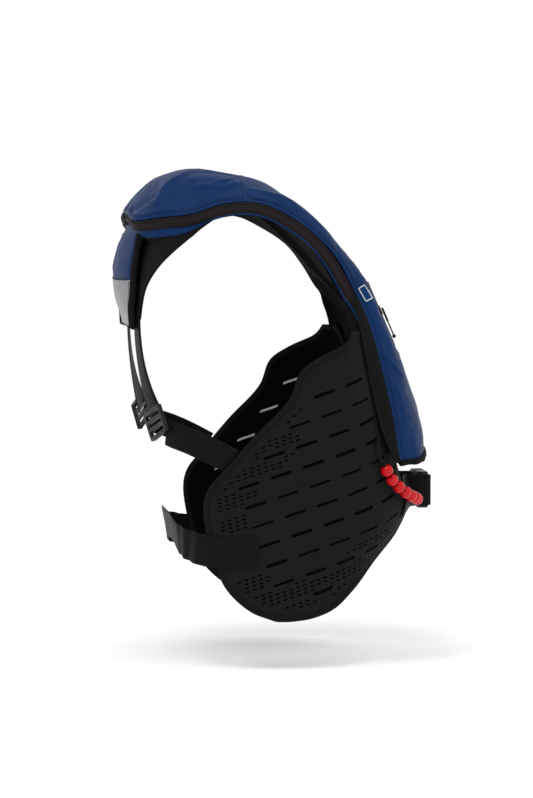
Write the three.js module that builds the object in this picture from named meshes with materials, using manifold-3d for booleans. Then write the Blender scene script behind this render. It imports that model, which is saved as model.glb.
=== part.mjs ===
// Inflatable life jacket: a horseshoe cover over the shoulders, front lobes with a chest zip, a back yoke
// with a reflective flap, perforated side panels, a waist belt with a side-release buckle, and the bladder,
// gas cylinder, inflator, oral tube and whistle inside.
// Millimetres, +Z up. The wearer faces -Y, and the wearer's right side is -X. The origin is on the centre
// plane in the neck opening, at the height of the neck edge.
import * as THREE from 'three';
import { mergeVertices } from 'three/addons/utils/BufferGeometryUtils.js';
import Module from 'manifold-3d';

const wasm = await Module();
wasm.setup();

// ---- driving dimensions ----
const SHELL = 1.6; // cover fabric with its lining
const WEB = 1.8; // webbing thickness
const BELT_WIDTH = 38;
const STRAP_WIDTH = 30;
const PANEL_THICKNESS = 2.4;
const PANEL_GAP = 0.5; // from the body form to a panel
const LINING_GAP = 5; // from the body form to the inner cover, over the side panel
const ZIP_WIDTH = 11;
const BEAD_DIAMETER = 14.6;
const CORD_DIAMETER = 3;
const CYLINDER_RADIUS = 12;
const CYLINDER_LENGTH = 90;
const TOUCH = 0.3; // gap between pieces that touch

// The wearer's body under the garment: height, half width, depth to the front, depth to the back, and how
// square the front is (the exponent of a superellipse).
const BODY_FORM = [
  [-500, 160, 116, 110, 3],
  [-470, 154, 121, 105, 3],
  [-440, 151, 131, 103, 3],
  [-405, 152, 156, 108, 3],
  [-370, 156, 170, 117, 2.9],
  [-340, 160, 158, 127, 3.2],
  [-300, 165, 146, 138, 3.8],
  [-250, 168, 133, 146, 4],
  [-170, 165, 112, 154, 4],
  [-100, 156, 88, 151, 4],
  [-40, 145, 40, 138, 4],
];
const BACK_SQUARENESS = 4;

// Guide points of the right half of the cover, from the hem of the front lobe, over the shoulder, to the
// middle of the back. Each station runs over the outside from the zip edge to the neck or centre edge.
const OUTER_STATIONS = [
  [[-128, -150, -318], [-110, -176, -316], [-62, -189, -309], [-19, -189, -308], [-14, -166, -310]],
  [[-134, -144, -282], [-116, -169, -280], [-62, -184, -283], [-19, -183, -283], [-14, -156, -283]],
  [[-134, -135, -240], [-117, -157, -238], [-62, -171, -240], [-19, -172, -240], [-14, -144, -240]],
  [[-129, -122, -185], [-114, -143, -182], [-60, -153, -187], [-19, -155, -184], [-14, -130, -190]],
  [[-124, -110, -147], [-110, -127, -140], [-60, -136, -146], [-19, -138, -144], [-14, -118, -150]],
  [[-119, -95, -114], [-104, -111, -106], [-62, -119, -112], [-24, -122, -110], [-18, -106, -118]],
  [[-122, -76, -80], [-106, -88, -76], [-66, -93, -82], [-44, -94, -82], [-36, -80, -90]],
  [[-130, -49, -52], [-112, -60, -43], [-76, -60, -48], [-57, -58, -47], [-49, -50, -58]],
  [[-138, -14, -28], [-118, -20, -12], [-84, -17, -8], [-61, -15, -7], [-54, -12, -24]],
  [[-140, 12, -17], [-116, 10, 0], [-86, 9, 8], [-63, 9, 9], [-55, 9, -10]],
  [[-140, 34, -14], [-112, 34, 6], [-84, 32, 15], [-62, 30, 16], [-55, 28, -4]],
  [[-137, 62, -17], [-104, 62, 12], [-80, 56, 19], [-60, 46, 20], [-54, 40, 0]],
  [[-131, 96, -28], [-94, 94, 12], [-72, 80, 21], [-52, 58, 23], [-46, 48, 2]],
  [[-122, 131, -32], [-99, 128, -3], [-64, 104, 18], [-38, 64, 24], [-34, 50, 4]],
  [[-101, 160, -36], [-88, 144, -15], [-50, 112, 16], [-26, 60, 24], [-22, 48, 4]],
  [[-52, 165, -29], [-46, 153, -9], [-30, 124, 14], [-14, 58, 24], [-12, 46, 4]],
  [[0, 167, -27], [0, 155, -7], [0, 128, 13], [0, 56, 24], [0, 45, 4]],
];
const SHOULDER_SEAM = 10; // the station where lobe and yoke are sewn together
const GUSSET_TOP = 5; // the station where the side gusset runs out

// The inner cover over the same stations, from the zip edge to the neck edge. Below the first of these
// stations it lies over the side panel.
const FORM_STATIONS = 5;
const INNER_STATIONS = [
  [[-112, -80, -120], [-70, -93, -121], [-28, -90, -120]],
  [[-116, -62, -91], [-76, -68, -98], [-42, -68, -98]],
  [[-126, -42, -65], [-82, -42, -66], [-53, -42, -68]],
  [[-134, -9, -43], [-90, -8, -36], [-57, -8, -36]],
  [[-137, 14, -32], [-94, 13, -25], [-59, 12, -23]],
  [[-138, 35, -29], [-94, 32, -19], [-59, 29, -15]],
  [[-134, 62, -33], [-92, 58, -19], [-57, 42, -10]],
  [[-127, 95, -44], [-84, 84, -23], [-50, 52, -8]],
  [[-118, 128, -48], [-72, 100, -28], [-38, 56, -7]],
  [[-98, 153, -51], [-56, 104, -32], [-25, 54, -7]],
  [[-51, 159, -45], [-30, 106, -35], [-12, 53, -7]],
  [[0, 161, -43], [0, 107, -36], [0, 52, -7]],
];

// Rear edge of the side gusset, over the stations it spans.
const GUSSET_EDGE = [
  [-134, -145, -321], [-143, -128, -283], [-142, -117, -240], [-140, -106, -185], [-130, -100, -147],
  [-121, -87, -112],
];

// Outline of the right side panel, from the bottom up its rear edge and up its front edge.
const PANEL_REAR = [
  [-158, 4, -503], [-155, 31, -491], [-152, 57, -465], [-150, 73, -434], [-146, 81, -398],
  [-150, 83, -367], [-154, 78, -348], [-160, 62, -328], [-163, 46, -311], [-166, 20, -284],
  [-168, -8, -244], [-168, -27, -212], [-163, -51, -196], [-150, -80, -180], [-140, -86, -168],
];
const PANEL_FRONT = [
  [-158, -16, -503], [-157, -41, -500], [-149, -70, -490], [-130, -97, -470], [-105, -121, -448],
  [-80, -141, -427], [-55, -157, -404], [-42, -166, -384], [-36, -170, -360], [-36, -160, -335],
  [-48, -146, -300], [-74, -131, -250], [-98, -114, -205], [-112, -103, -180], [-118, -98, -168],
];

// ---- small helpers ----
const vec = (x, y, z) => new THREE.Vector3(x, y, z);
const point = (p) => vec(p[0], p[1], p[2]);
const mirrored = (p) => vec(-p.x, p.y, p.z);
const splineThrough = (points) => new THREE.CatmullRomCurve3(points, false, 'centripetal');

const group = new THREE.Group();

const FINISH = {
  cover: [0x1d3a6b, 0.75, 0],
  black_fabric: [0x15161a, 0.85, 0],
  webbing: [0x121316, 0.8, 0],
  zip: [0x1d1a1a, 0.6, 0],
  reflective: [0xa9adb0, 0.45, 0.2],
  bladder: [0xe6c21f, 0.5, 0],
  plastic: [0x101113, 0.45, 0],
  bead: [0xc4121c, 0.25, 0],
  cord: [0xb3202a, 0.7, 0],
  steel: [0x8f9296, 0.3, 0.9],
  green_plastic: [0x2f8f4a, 0.45, 0],
  whistle: [0xe4641b, 0.4, 0],
};

function place(name, geometry, finish) {
  const [color, roughness, metalness] = FINISH[finish];
  const mesh = new THREE.Mesh(geometry, new THREE.MeshStandardMaterial({ color, roughness, metalness }));
  mesh.name = name;
  group.add(mesh);
  return mesh;
}

function volumeOf(positions, index) {
  let volume = 0;
  for (let i = 0; i < index.length; i += 3) {
    const [a, b, c] = [0, 1, 2].map((k) => point(positions.slice(3 * index[i + k], 3 * index[i + k] + 3)));
    volume += a.dot(b.cross(c)) / 6;
  }
  return volume;
}

function closedGeometry(positions, index) {
  if (volumeOf(positions, index) < 0) {
    for (let i = 0; i < index.length; i += 3) [index[i], index[i + 1]] = [index[i + 1], index[i]];
  }
  const geometry = new THREE.BufferGeometry();
  geometry.setAttribute('position', new THREE.Float32BufferAttribute(positions, 3));
  geometry.setIndex(index);
  return geometry;
}

// A closed sheet between two grids of the same size.
function slab(top, bottom) {
  const rows = top.length;
  const columns = top[0].length;
  const positions = [...top, ...bottom].flat().flatMap((p) => [p.x, p.y, p.z]);
  const at = (layer, i, j) => (layer * rows + i) * columns + j;
  const index = [];
  const quad = (a, b, c, d) => index.push(a, b, c, a, c, d);
  for (let i = 0; i < rows - 1; i++) {
    for (let j = 0; j < columns - 1; j++) {
      quad(at(0, i, j), at(0, i, j + 1), at(0, i + 1, j + 1), at(0, i + 1, j));
      quad(at(1, i, j), at(1, i + 1, j), at(1, i + 1, j + 1), at(1, i, j + 1));
    }
    quad(at(0, i, 0), at(0, i + 1, 0), at(1, i + 1, 0), at(1, i, 0));
    const last = columns - 1;
    quad(at(0, i, last), at(1, i, last), at(1, i + 1, last), at(0, i + 1, last));
  }
  for (let j = 0; j < columns - 1; j++) {
    quad(at(0, 0, j), at(1, 0, j), at(1, 0, j + 1), at(0, 0, j + 1));
    const last = rows - 1;
    quad(at(0, last, j), at(0, last, j + 1), at(1, last, j + 1), at(1, last, j));
  }
  return closedGeometry(positions, index);
}

// Unit normals of a grid of points, pointing along toward at its middle.
function gridNormals(grid, toward) {
  const rows = grid.length;
  const columns = grid[0].length;
  const normals = grid.map((row, i) => row.map((_, j) => {
    const down = grid[Math.min(i + 1, rows - 1)][j].clone().sub(grid[Math.max(i - 1, 0)][j]);
    const along = grid[i][Math.min(j + 1, columns - 1)].clone().sub(grid[i][Math.max(j - 1, 0)]);
    return down.cross(along).normalize();
  }));
  const middle = normals[rows >> 1][columns >> 1];
  const sign = Math.sign(middle.dot(toward));
  return normals.map((row) => row.map((n) => n.multiplyScalar(sign)));
}

const offsetGrid = (grid, normals, distance) => grid.map((row, i) => (
  row.map((p, j) => p.clone().addScaledVector(normals[i][j], distance))
));

function shell(grid, toward, low, high) {
  const normals = gridNormals(grid, toward);
  return slab(offsetGrid(grid, normals, high), offsetGrid(grid, normals, low));
}

function toManifold(geometry) {
  const bare = geometry.clone();
  bare.deleteAttribute('normal');
  bare.deleteAttribute('uv');
  const merged = mergeVertices(bare, 1e-4);
  return new wasm.Manifold(new wasm.Mesh({
    numProp: 3,
    vertProperties: new Float32Array(merged.attributes.position.array),
    triVerts: new Uint32Array(merged.index.array),
  }));
}

function fromManifold(solid) {
  const mesh = solid.getMesh();
  const geometry = new THREE.BufferGeometry();
  geometry.setAttribute('position', new THREE.BufferAttribute(new Float32Array(mesh.vertProperties), 3));
  geometry.setIndex(new THREE.BufferAttribute(new Uint32Array(mesh.triVerts), 1));
  return geometry;
}

const cut = (body, ...tools) => fromManifold(
  tools.reduce((solid, tool) => solid.subtract(toManifold(tool)), toManifold(body)),
);
const joined = (...pieces) => fromManifold(
  pieces.slice(1).reduce((solid, piece) => solid.add(toManifold(piece)), toManifold(pieces[0])),
);

function roundedPlate(width, height, thickness, radius, bevel = 0) {
  const w = width / 2 - bevel;
  const h = height / 2 - bevel;
  const r = radius;
  const shape = new THREE.Shape();
  shape.moveTo(-w + r, -h);
  shape.lineTo(w - r, -h);
  shape.absarc(w - r, -h + r, r, -Math.PI / 2, 0);
  shape.lineTo(w, h - r);
  shape.absarc(w - r, h - r, r, 0, Math.PI / 2);
  shape.lineTo(-w + r, h);
  shape.absarc(-w + r, h - r, r, Math.PI / 2, Math.PI);
  shape.lineTo(-w, -h + r);
  shape.absarc(-w + r, -h + r, r, Math.PI, 1.5 * Math.PI);
  const options = { depth: thickness - 2 * bevel, bevelEnabled: bevel > 0, curveSegments: 3 };
  const geometry = new THREE.ExtrudeGeometry(shape, {
    ...options, bevelSize: bevel, bevelThickness: bevel, bevelSegments: 1,
  });
  return geometry.translate(0, 0, -thickness / 2 + bevel);
}

const slot = (width, height, x, y, depth) => new THREE.BoxGeometry(width, height, depth).translate(x, y, 0);

// ---- the body form ----
function formAt(z) {
  const rows = BODY_FORM;
  const last = rows.length - 1;
  const height = THREE.MathUtils.clamp(z, rows[0][0], rows[last][0]);
  const i = Math.min(rows.findLastIndex((row) => row[0] <= height), last - 1);
  const [before, from, to, after] = [i - 1, i, i + 1, i + 2].map((k) => rows[THREE.MathUtils.clamp(k, 0, last)]);
  const span = to[0] - from[0];
  const t = (height - from[0]) / span;
  return [1, 2, 3, 4].map((k) => {
    const slopeIn = span * (to[k] - before[k]) / (to[0] - before[0]);
    const slopeOut = span * (after[k] - from[k]) / (after[0] - from[0]);
    const [t2, t3] = [t * t, t * t * t];
    return (2 * t3 - 3 * t2 + 1) * from[k] + (t3 - 2 * t2 + t) * slopeIn
      + (3 * t2 - 2 * t3) * to[k] + (t3 - t2) * slopeOut;
  });
}

const FORM_SAMPLES = 240;
const girths = new Map();

// The right half of the form's outline at a height, as points and their distance from the middle of the
// side, positive to the front.
function girthAt(z) {
  const key = z.toFixed(3);
  if (girths.has(key)) return girths.get(key);
  const [half, front, back, frontSquareness] = formAt(z);
  const outline = [];
  for (let k = 0; k <= FORM_SAMPLES; k++) {
    const angle = Math.PI * (k / FORM_SAMPLES - 0.5);
    const depth = angle > 0 ? -front : back;
    const power = 2 / (angle > 0 ? frontSquareness : BACK_SQUARENESS);
    const x = -half * Math.abs(Math.cos(angle)) ** power;
    const y = depth * Math.abs(Math.sin(angle)) ** power;
    const previous = outline[outline.length - 1];
    const length = previous ? previous.length + Math.hypot(x - previous.x, y - previous.y) : 0;
    outline.push({ x, y, length });
  }
  const middle = outline[FORM_SAMPLES / 2].length;
  outline.forEach((sample) => { sample.length -= middle; });
  girths.set(key, outline);
  return outline;
}

function onForm(girth, z) {
  const outline = girthAt(z);
  const last = outline.length - 1;
  const k = THREE.MathUtils.clamp(outline.findIndex((sample) => sample.length > girth), 1, last);
  const [a, b] = [outline[k - 1], outline[k]];
  const t = THREE.MathUtils.clamp((girth - a.length) / (b.length - a.length), 0, 1);
  return vec(a.x + (b.x - a.x) * t, a.y + (b.y - a.y) * t, z);
}

function formNormal(girth, z) {
  const step = 3;
  const around = onForm(girth + step, z).sub(onForm(girth - step, z));
  const up = onForm(girth, z + step).sub(onForm(girth, z - step));
  return up.cross(around).normalize();
}

const offForm = (girth, z, distance) => onForm(girth, z).addScaledVector(formNormal(girth, z), -distance);

// The girth coordinate of the form point nearest to (x, y) at a height.
function girthOf(x, y, z) {
  const nearest = girthAt(z).reduce((best, sample) => {
    const distance = Math.hypot(sample.x - x, sample.y - y);
    return distance < best.distance ? { distance, length: sample.length } : best;
  }, { distance: Infinity, length: 0 });
  return nearest.length;
}

// A flat ribbon lying on the form along guide points, all on the right half.
function ribbonGrid(guides, width, offset, steps, across = 2) {
  const flat = guides.map(([x, y, z]) => vec(girthOf(x, y, z), z, 0));
  const line = splineThrough(flat);
  return [...Array(steps + 1).keys()].map((i) => {
    const centre = line.getPointAt(i / steps);
    const tangent = line.getTangentAt(i / steps);
    return [...Array(across + 1).keys()].map((j) => {
      const shift = width * (j / across - 0.5);
      return offForm(centre.x - tangent.y * shift, centre.y + tangent.x * shift, offset);
    });
  });
}

function formRibbon(guides, width, offset, thickness, steps, across = 2) {
  return slab(
    ribbonGrid(guides, width, offset + thickness, steps, across),
    ribbonGrid(guides, width, offset, steps, across),
  );
}

const mirrorGeometry = (geometry) => {
  const copy = geometry.clone().applyMatrix4(new THREE.Matrix4().makeScale(-1, 1, 1));
  if (!copy.index) return copy;
  return closedGeometry([...copy.attributes.position.array], [...copy.index.array]);
};

function placePair(name, geometry, finish) {
  place(`${name}_right`, geometry, finish);
  place(`${name}_left`, mirrorGeometry(geometry), finish);
}

// ---- the cover's surfaces ----
const STATION_STEPS = 2; // rows between two stations
const last = OUTER_STATIONS.length - 1;

// A point of the form's front at a distance from the centre plane.
function frontOfForm(x, z, distance) {
  const [half, front, , squareness] = formAt(z);
  const y = -front * (1 - (Math.abs(x) / half) ** squareness) ** (1 / squareness);
  return vec(x, y - distance, z);
}

const outerStation = (i) => OUTER_STATIONS[i].map(point);

function innerStation(i) {
  if (i >= FORM_STATIONS) return INNER_STATIONS[i - FORM_STATIONS].map(point);
  const edge = -114 + 2.2 * i;
  return [edge, -66, -17].map((x) => frontOfForm(x, OUTER_STATIONS[i][2][2], LINING_GAP));
}

// A section through guide columns at a station number, which need not be whole.
function coverSection(stationPoints) {
  const guides = [...Array(stationPoints(0).length).keys()].map((k) => (
    splineThrough([...Array(last + 1).keys()].map((i) => stationPoints(i)[k]))
  ));
  return (station) => splineThrough(guides.map((guide) => guide.getPoint(station / last)));
}

const outerSection = coverSection(outerStation);
const innerSection = coverSection(innerStation);
const steps = (from, to, count) => [...Array(count + 1).keys()].map((k) => from + (to - from) * (k / count));
const stationSteps = (from, to) => steps(from, to, Math.round((to - from) * STATION_STEPS));

const outerGrid = (from, to, columns = 8) => stationSteps(from, to).map((station) => (
  steps(0, 1, columns).map((s) => outerSection(station).getPointAt(s))
));
const innerGrid = (from, to, columns = 4) => stationSteps(from, to).map((station) => (
  steps(0, 1, columns).map((s) => innerSection(station).getPointAt(s))
));

// A right-hand grid that ends on the centre plane, carried on over to the left.
const acrossBack = (grid) => [
  ...grid,
  ...grid.slice(0, -1).reverse().map((row) => row.map(mirrored)),
];

const UP = vec(0, 0, 1);
const FRONT = vec(0, -1, 0);
const BACK = vec(0, 1, 0);
const OUTWARD = vec(-1, 0, 0); // away from the wearer's right side
const SEAM_HALF = 0.02; // half of the gap at the shoulder seam, in stations

function covers() {
  const lobe = shell(outerGrid(0, SHOULDER_SEAM - SEAM_HALF), FRONT, -SHELL, 0);
  placePair('cover_outer', lobe, 'cover');
  const yoke = shell(acrossBack(outerGrid(SHOULDER_SEAM + SEAM_HALF, last)), UP, -SHELL, 0);
  place('cover_outer_yoke', yoke, 'cover');
  const lining = shell(innerGrid(0.2, SHOULDER_SEAM - SEAM_HALF), FRONT, 0, SHELL);
  placePair('cover_inner', lining, 'black_fabric');
  const yokeLining = shell(acrossBack(innerGrid(SHOULDER_SEAM + SEAM_HALF, last)), UP, 0, SHELL);
  place('cover_inner_yoke', yokeLining, 'cover');
}

// The folded bladder between outer and inner cover. In the lobes it keeps to the centre, beside the
// inflator and the oral tube.
function bladder() {
  const LOW = 0.34;
  const HIGH = 0.72;
  const between = (station, s, share) => (
    innerSection(station).getPointAt(s).lerp(outerSection(station).getPointAt(s), share)
  );
  const outerLimit = (station) => THREE.MathUtils.mapLinear(
    THREE.MathUtils.smoothstep(station, 4, 7), 0, 1, 0.5, 0.16,
  );
  const layer = (share) => acrossBack(stationSteps(0.6, last).map((station) => (
    steps(outerLimit(station), 0.82, 3).map((s) => between(station, s, share))
  )));
  place('bladder', slab(layer(HIGH), layer(LOW)), 'bladder');
}

// Side gusset from the cover's edge back to the burst zip.
function gussets() {
  const edge = splineThrough(GUSSET_EDGE.map(point));
  const rows = stationSteps(0, GUSSET_TOP - 0.4).map((station) => {
    const front = outerSection(station).getPoint(0);
    const rear = edge.getPoint(station / GUSSET_TOP);
    const width = front.distanceTo(rear);
    return steps(0.8 / width, 1, 3).map((s) => front.clone().lerp(rear, s));
  });
  placePair('side_gusset', shell(rows, OUTWARD, -SHELL, 0), 'black_fabric');
}

// The burst zip closes the cover's edge; at the lobe it passes behind the gusset.
function burstZips() {
  const START = 1.3;
  const BEHIND_GUSSET = vec(0.92, 0.4, 0).multiplyScalar(3.8);
  const sides = [...Array(last + 1).keys()].map((i) => {
    const front = point(OUTER_STATIONS[i][0]);
    if (i >= GUSSET_TOP) return [front, innerStation(i)[0]];
    return [front, point(GUSSET_EDGE[i])].map((p) => p.add(BEHIND_GUSSET));
  });
  const centre = splineThrough(sides.map(([front, rear]) => front.clone().lerp(rear, 0.5)));
  const across = splineThrough(sides.map(([front, rear]) => rear.clone().sub(front).normalize()));
  const rows = stationSteps(START, last - 0.03).map((station) => {
    const half = across.getPoint(station / last).setLength(ZIP_WIDTH / 2);
    return steps(-1, 1, 2).map((s) => centre.getPoint(station / last).addScaledVector(half, s));
  });
  placePair('burst_zip', shell(rows, OUTWARD, -1.1, 1.1), 'zip');
}

// Bound hem and bottom closure of a front lobe.
function hems() {
  const outside = outerSection(0);
  const above = outerSection(0.4);
  const inside = innerSection(0.2);
  const rows = [[0.7, 0], [8, 0], [8, 0.5], [7, 0.93]].map(([drop, inward]) => (
    steps(0, 1, 8).map((s) => {
      const edge = outside.getPointAt(s);
      const down = edge.clone().sub(above.getPointAt(s)).setLength(drop);
      return edge.lerp(inside.getPointAt(s), inward).add(down);
    })
  ));
  placePair('lobe_hem', shell(rows, FRONT, -SHELL, 0), 'black_fabric');
}

// ---- panels and webbing on the body form ----
const flatCurve = (points) => splineThrough(points.map(([x, y, z]) => vec(girthOf(x, y, z), z, 0)));
const WEB_OFFSET = PANEL_GAP + PANEL_THICKNESS + TOUCH;

function sidePanels() {
  const rear = flatCurve(PANEL_REAR);
  const front = flatCurve(PANEL_FRONT);
  const layer = (offset) => steps(0, 1, 19).map((t) => {
    const [a, b] = [rear.getPoint(t), front.getPoint(t)];
    return steps(0, 1, 8).map((s) => {
      const flat = a.clone().lerp(b, s);
      return offForm(flat.x, flat.y, offset);
    });
  });
  placePair('side_panel', slab(layer(PANEL_GAP + PANEL_THICKNESS), layer(PANEL_GAP)), 'black_fabric');
}

// Inner back panel, and its edge from the top down, at the armhole.
function backPanel() {
  const edge = flatCurve([[-137, 101, -57], [-132, 116, -70], [-118, 136, -92], [-96, 148, -120], [-80, 150, -152]]);
  const layer = (offset) => steps(0, 1, 6).map((t) => {
    const side = edge.getPoint(t);
    const middle = -girthAt(side.y)[0].length;
    const right = steps(0, 1, 6).map((s) => offForm(side.x + (-middle - side.x) * s, side.y, offset));
    return [...right, ...right.slice(0, -1).reverse().map(mirrored)];
  });
  place('back_panel', slab(layer(PANEL_GAP + PANEL_THICKNESS), layer(PANEL_GAP)), 'black_fabric');
}

function webbing() {
  const backStrap = [[-76, 151, -155], [-80, 151, -175], [-86, 148, -205], [-98, 143, -235], [-110, 134, -259]];
  placePair('back_strap', formRibbon(backStrap, 34, WEB_OFFSET, WEB, 10), 'webbing');
  const adjuster = [[-134, 120, -283], [-150, 96, -292], [-160, 66, -308], [-163, 46, -320]];
  placePair('adjuster_strap', formRibbon(adjuster, STRAP_WIDTH, WEB_OFFSET, WEB, 9), 'webbing');
  const belt = [
    [-156, 20, -423], [-153, 46, -423], [-143, 73, -422], [-115, 96, -415], [-62, 108, -404], [-20, 110, -399],
    [0, 110, -398],
  ];
  const layer = (offset) => acrossBack(ribbonGrid(belt, BELT_WIDTH, offset, 14));
  const off = WEB_OFFSET + 1;
  place('waist_belt', slab(layer(off + WEB), layer(off)), 'webbing');
}

// ---- the back flap ----
const FLAP_HALF = 85;
const FLAP_THICKNESS = 5;
const FLAP_SPLIT = -107;
const FLAP_MIDDLE = splineThrough([[0, 168, -52], [0, 177, -78], [0, 180, -102], [0, 179, -120], [0, 174, -138],
  [0, 164, -163]].map(point));
const FLAP_EDGE = splineThrough([[0, 155, -52], [0, 160, -78], [0, 163, -102], [0, 164, -120], [0, 166, -138],
  [0, 165, -163]].map(point));

function flapPiece(name, from, to, finish) {
  const rows = steps(from, to, 5).map((t) => {
    const [middle, edge] = [FLAP_MIDDLE.getPoint(t), FLAP_EDGE.getPoint(t)];
    return steps(-1, 1, 8).map((s) => vec(FLAP_HALF * s, middle.y + (edge.y - middle.y) * s * s, middle.z));
  });
  place(name, shell(rows, BACK, -FLAP_THICKNESS, 0), finish);
}

function backFlap() {
  const split = steps(0, 1, 200).find((t) => FLAP_MIDDLE.getPoint(t).z < FLAP_SPLIT);
  flapPiece('back_flap', 0, split, 'cover');
  flapPiece('reflective_panel', split + 0.012, 1, 'reflective');
}

// ---- the chest zip ----
const ZIP_LINE = [[0, -127, -111], [0, -159, -185], [0, -176, -240], [0, -187, -283], [0, -192, -304]].map(point);
const ZIP_DIRECTION = ZIP_LINE[1].clone().sub(ZIP_LINE[0]).normalize();
const SLIDER_AT = ZIP_LINE[0].clone().addScaledVector(ZIP_DIRECTION, 38);
const CHAIN_HALF = 2.9;
const CHAIN_THICKNESS = 2.4;

// Turns a piece made along -Z, with its face to -Y, to lie along the chest zip.
const alongZip = (geometry, at) => {
  const lean = Math.atan2(ZIP_DIRECTION.y, ZIP_DIRECTION.z) - Math.PI;
  return geometry.rotateX(-lean).translate(at.x, at.y, at.z);
};

function chestZip() {
  const line = new THREE.CurvePath();
  ZIP_LINE.slice(1).forEach((p, i) => line.add(new THREE.LineCurve3(ZIP_LINE[i], p)));
  const strip = (from, to) => steps(0, 1, 16).map((t) => (
    [from, to].map((x) => line.getPoint(t).add(vec(x, 0, 0)))
  ));
  const tape = shell(strip(-13.4, -4.8), FRONT, -0.5, 0.5);
  placePair('chest_zip_tape', tape, 'zip');
  const chain = shell(strip(-CHAIN_HALF, CHAIN_HALF), FRONT, -CHAIN_THICKNESS / 2, CHAIN_THICKNESS / 2);
  place('chest_zip_chain', chain, 'zip');
  const channel = slot(2 * CHAIN_HALF + 0.8, CHAIN_THICKNESS + 0.9, 0, 0, 30);
  const slider = cut(new THREE.BoxGeometry(8.8, 5.6, 12), channel);
  place('chest_zip_slider', alongZip(slider, SLIDER_AT), 'plastic');
  const grip = cut(roundedPlate(6.5, 18, 2, 2.5), slot(2.6, 7, 0, 0, 8));
  const pullCord = new THREE.CylinderGeometry(0.9, 0.9, 19, 8).translate(0, -18, 0);
  const knob = new THREE.SphereGeometry(2.4, 10, 8).translate(0, -28.5, 0);
  const puller = joined(grip, pullCord, knob).rotateX(Math.PI / 2).translate(0, -5, -7);
  place('chest_zip_puller', alongZip(puller, SLIDER_AT), 'plastic');
}

// ---- inflator, gas cylinder, oral tube and whistle inside the lobes ----
const LOBE_LEAN = Math.atan(0.28); // how far the lobe's middle leans forward on its way down
const INFLATOR_AT = vec(-97, -159.5, -284);
const ORAL_TUBE_AT = vec(90, -161, -284);
const WHISTLE_AT = vec(111, -144, -236);

const inLobe = (geometry, at) => geometry.rotateX(-LOBE_LEAN).translate(at.x, at.y, at.z);
const lobePoint = (local, at) => local.clone().applyAxisAngle(vec(1, 0, 0), -LOBE_LEAN).add(at);

// A solid of revolution about Z from [radius, height] pairs, the first and last on the axis.
const turned = (profile, segments) => (
  new THREE.LatheGeometry(profile.map(([r, h]) => new THREE.Vector2(r, h)), segments).rotateX(Math.PI / 2)
);

function inflator() {
  const BODY = [21, 19, 34];
  const NECK = 6;
  const body = new THREE.BoxGeometry(...BODY);
  const socket = turned([[0, 8], [NECK + 0.3, 8], [NECK + 0.3, 20], [0, 20]], 16);
  place('inflator_body', inLobe(cut(body, socket), INFLATOR_AT), 'plastic');
  const base = BODY[2] / 2 + 3;
  const top = base + CYLINDER_LENGTH;
  const cylinder = turned([
    [0, 8.5], [NECK, 8.5], [NECK, base], [CYLINDER_RADIUS - 2, base + 7], [CYLINDER_RADIUS, base + 12],
    [CYLINDER_RADIUS, top - 7], [CYLINDER_RADIUS - 3, top - 1.5], [4, top], [0, top],
  ], 20);
  place('gas_cylinder', inLobe(cylinder, INFLATOR_AT), 'steel');
  const low = -BODY[2] / 2 - TOUCH;
  const cap = turned([[0, low - 12], [8, low - 12], [9, low - 11], [9, low], [0, low]], 16);
  place('sensor_cap', inLobe(cap, INFLATOR_AT), 'green_plastic');
  const lever = roundedPlate(20, 8, 3, 3).rotateY(Math.PI / 2).rotateX(Math.PI / 2).translate(-12.4, 6, -4);
  place('inflator_lever', inLobe(lever, INFLATOR_AT), 'bead');
}

function oralInflation() {
  const tube = turned([[0, 0], [5.5, 0], [5.5, 84], [3.6, 84], [3.6, 90], [0, 90]], 14);
  place('oral_tube', inLobe(tube, ORAL_TUBE_AT), 'plastic');
  const cap = turned([
    [0, 91], [3.6 + TOUCH, 91], [3.6 + TOUCH, 84.4], [8, 84.4], [8, 93], [7, 95], [0, 95],
  ], 14);
  place('oral_tube_cap', inLobe(cap, ORAL_TUBE_AT), 'bead');
  const barrel = roundedPlate(11, 40, 15, 2, 1).rotateX(Math.PI / 2);
  const mouth = slot(6, 3, 0, 6, 20).rotateX(Math.PI / 2).translate(0, 0, 3);
  place('whistle', inLobe(cut(barrel, mouth), WHISTLE_AT), 'whistle');
}

// ---- the manual pull: a cord with beads that hangs below the right lobe ----
// The point at a depth and height that stands off the form's right front side by a distance.
function besideForm(y, z, distance) {
  let [rear, front] = [40, girthAt(z)[FORM_SAMPLES].length];
  for (let k = 0; k < 40; k++) {
    const girth = (rear + front) / 2;
    if (offForm(girth, z, distance).y > y) rear = girth;
    else front = girth;
  }
  return offForm(rear, z, distance);
}

const PULL_ROUTE = [
  besideForm(-122, -289, 6), besideForm(-120, -300, 6.4), besideForm(-124, -314, 8), besideForm(-131, -326, 10),
  besideForm(-138, -338, 12), besideForm(-145, -348, 13), besideForm(-153, -355, 14),
  besideForm(-161, -361, 14.6), besideForm(-170, -365, 15), besideForm(-177, -368, 15),
  besideForm(-182, -371, 15),
];
const BEAD_COUNT = 7;
const FIRST_BEAD = 46; // along the cord, to the first bead's middle
const BEAD_PITCH = BEAD_DIAMETER + TOUCH;
const BEAD_BORE = 2.8;

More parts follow.
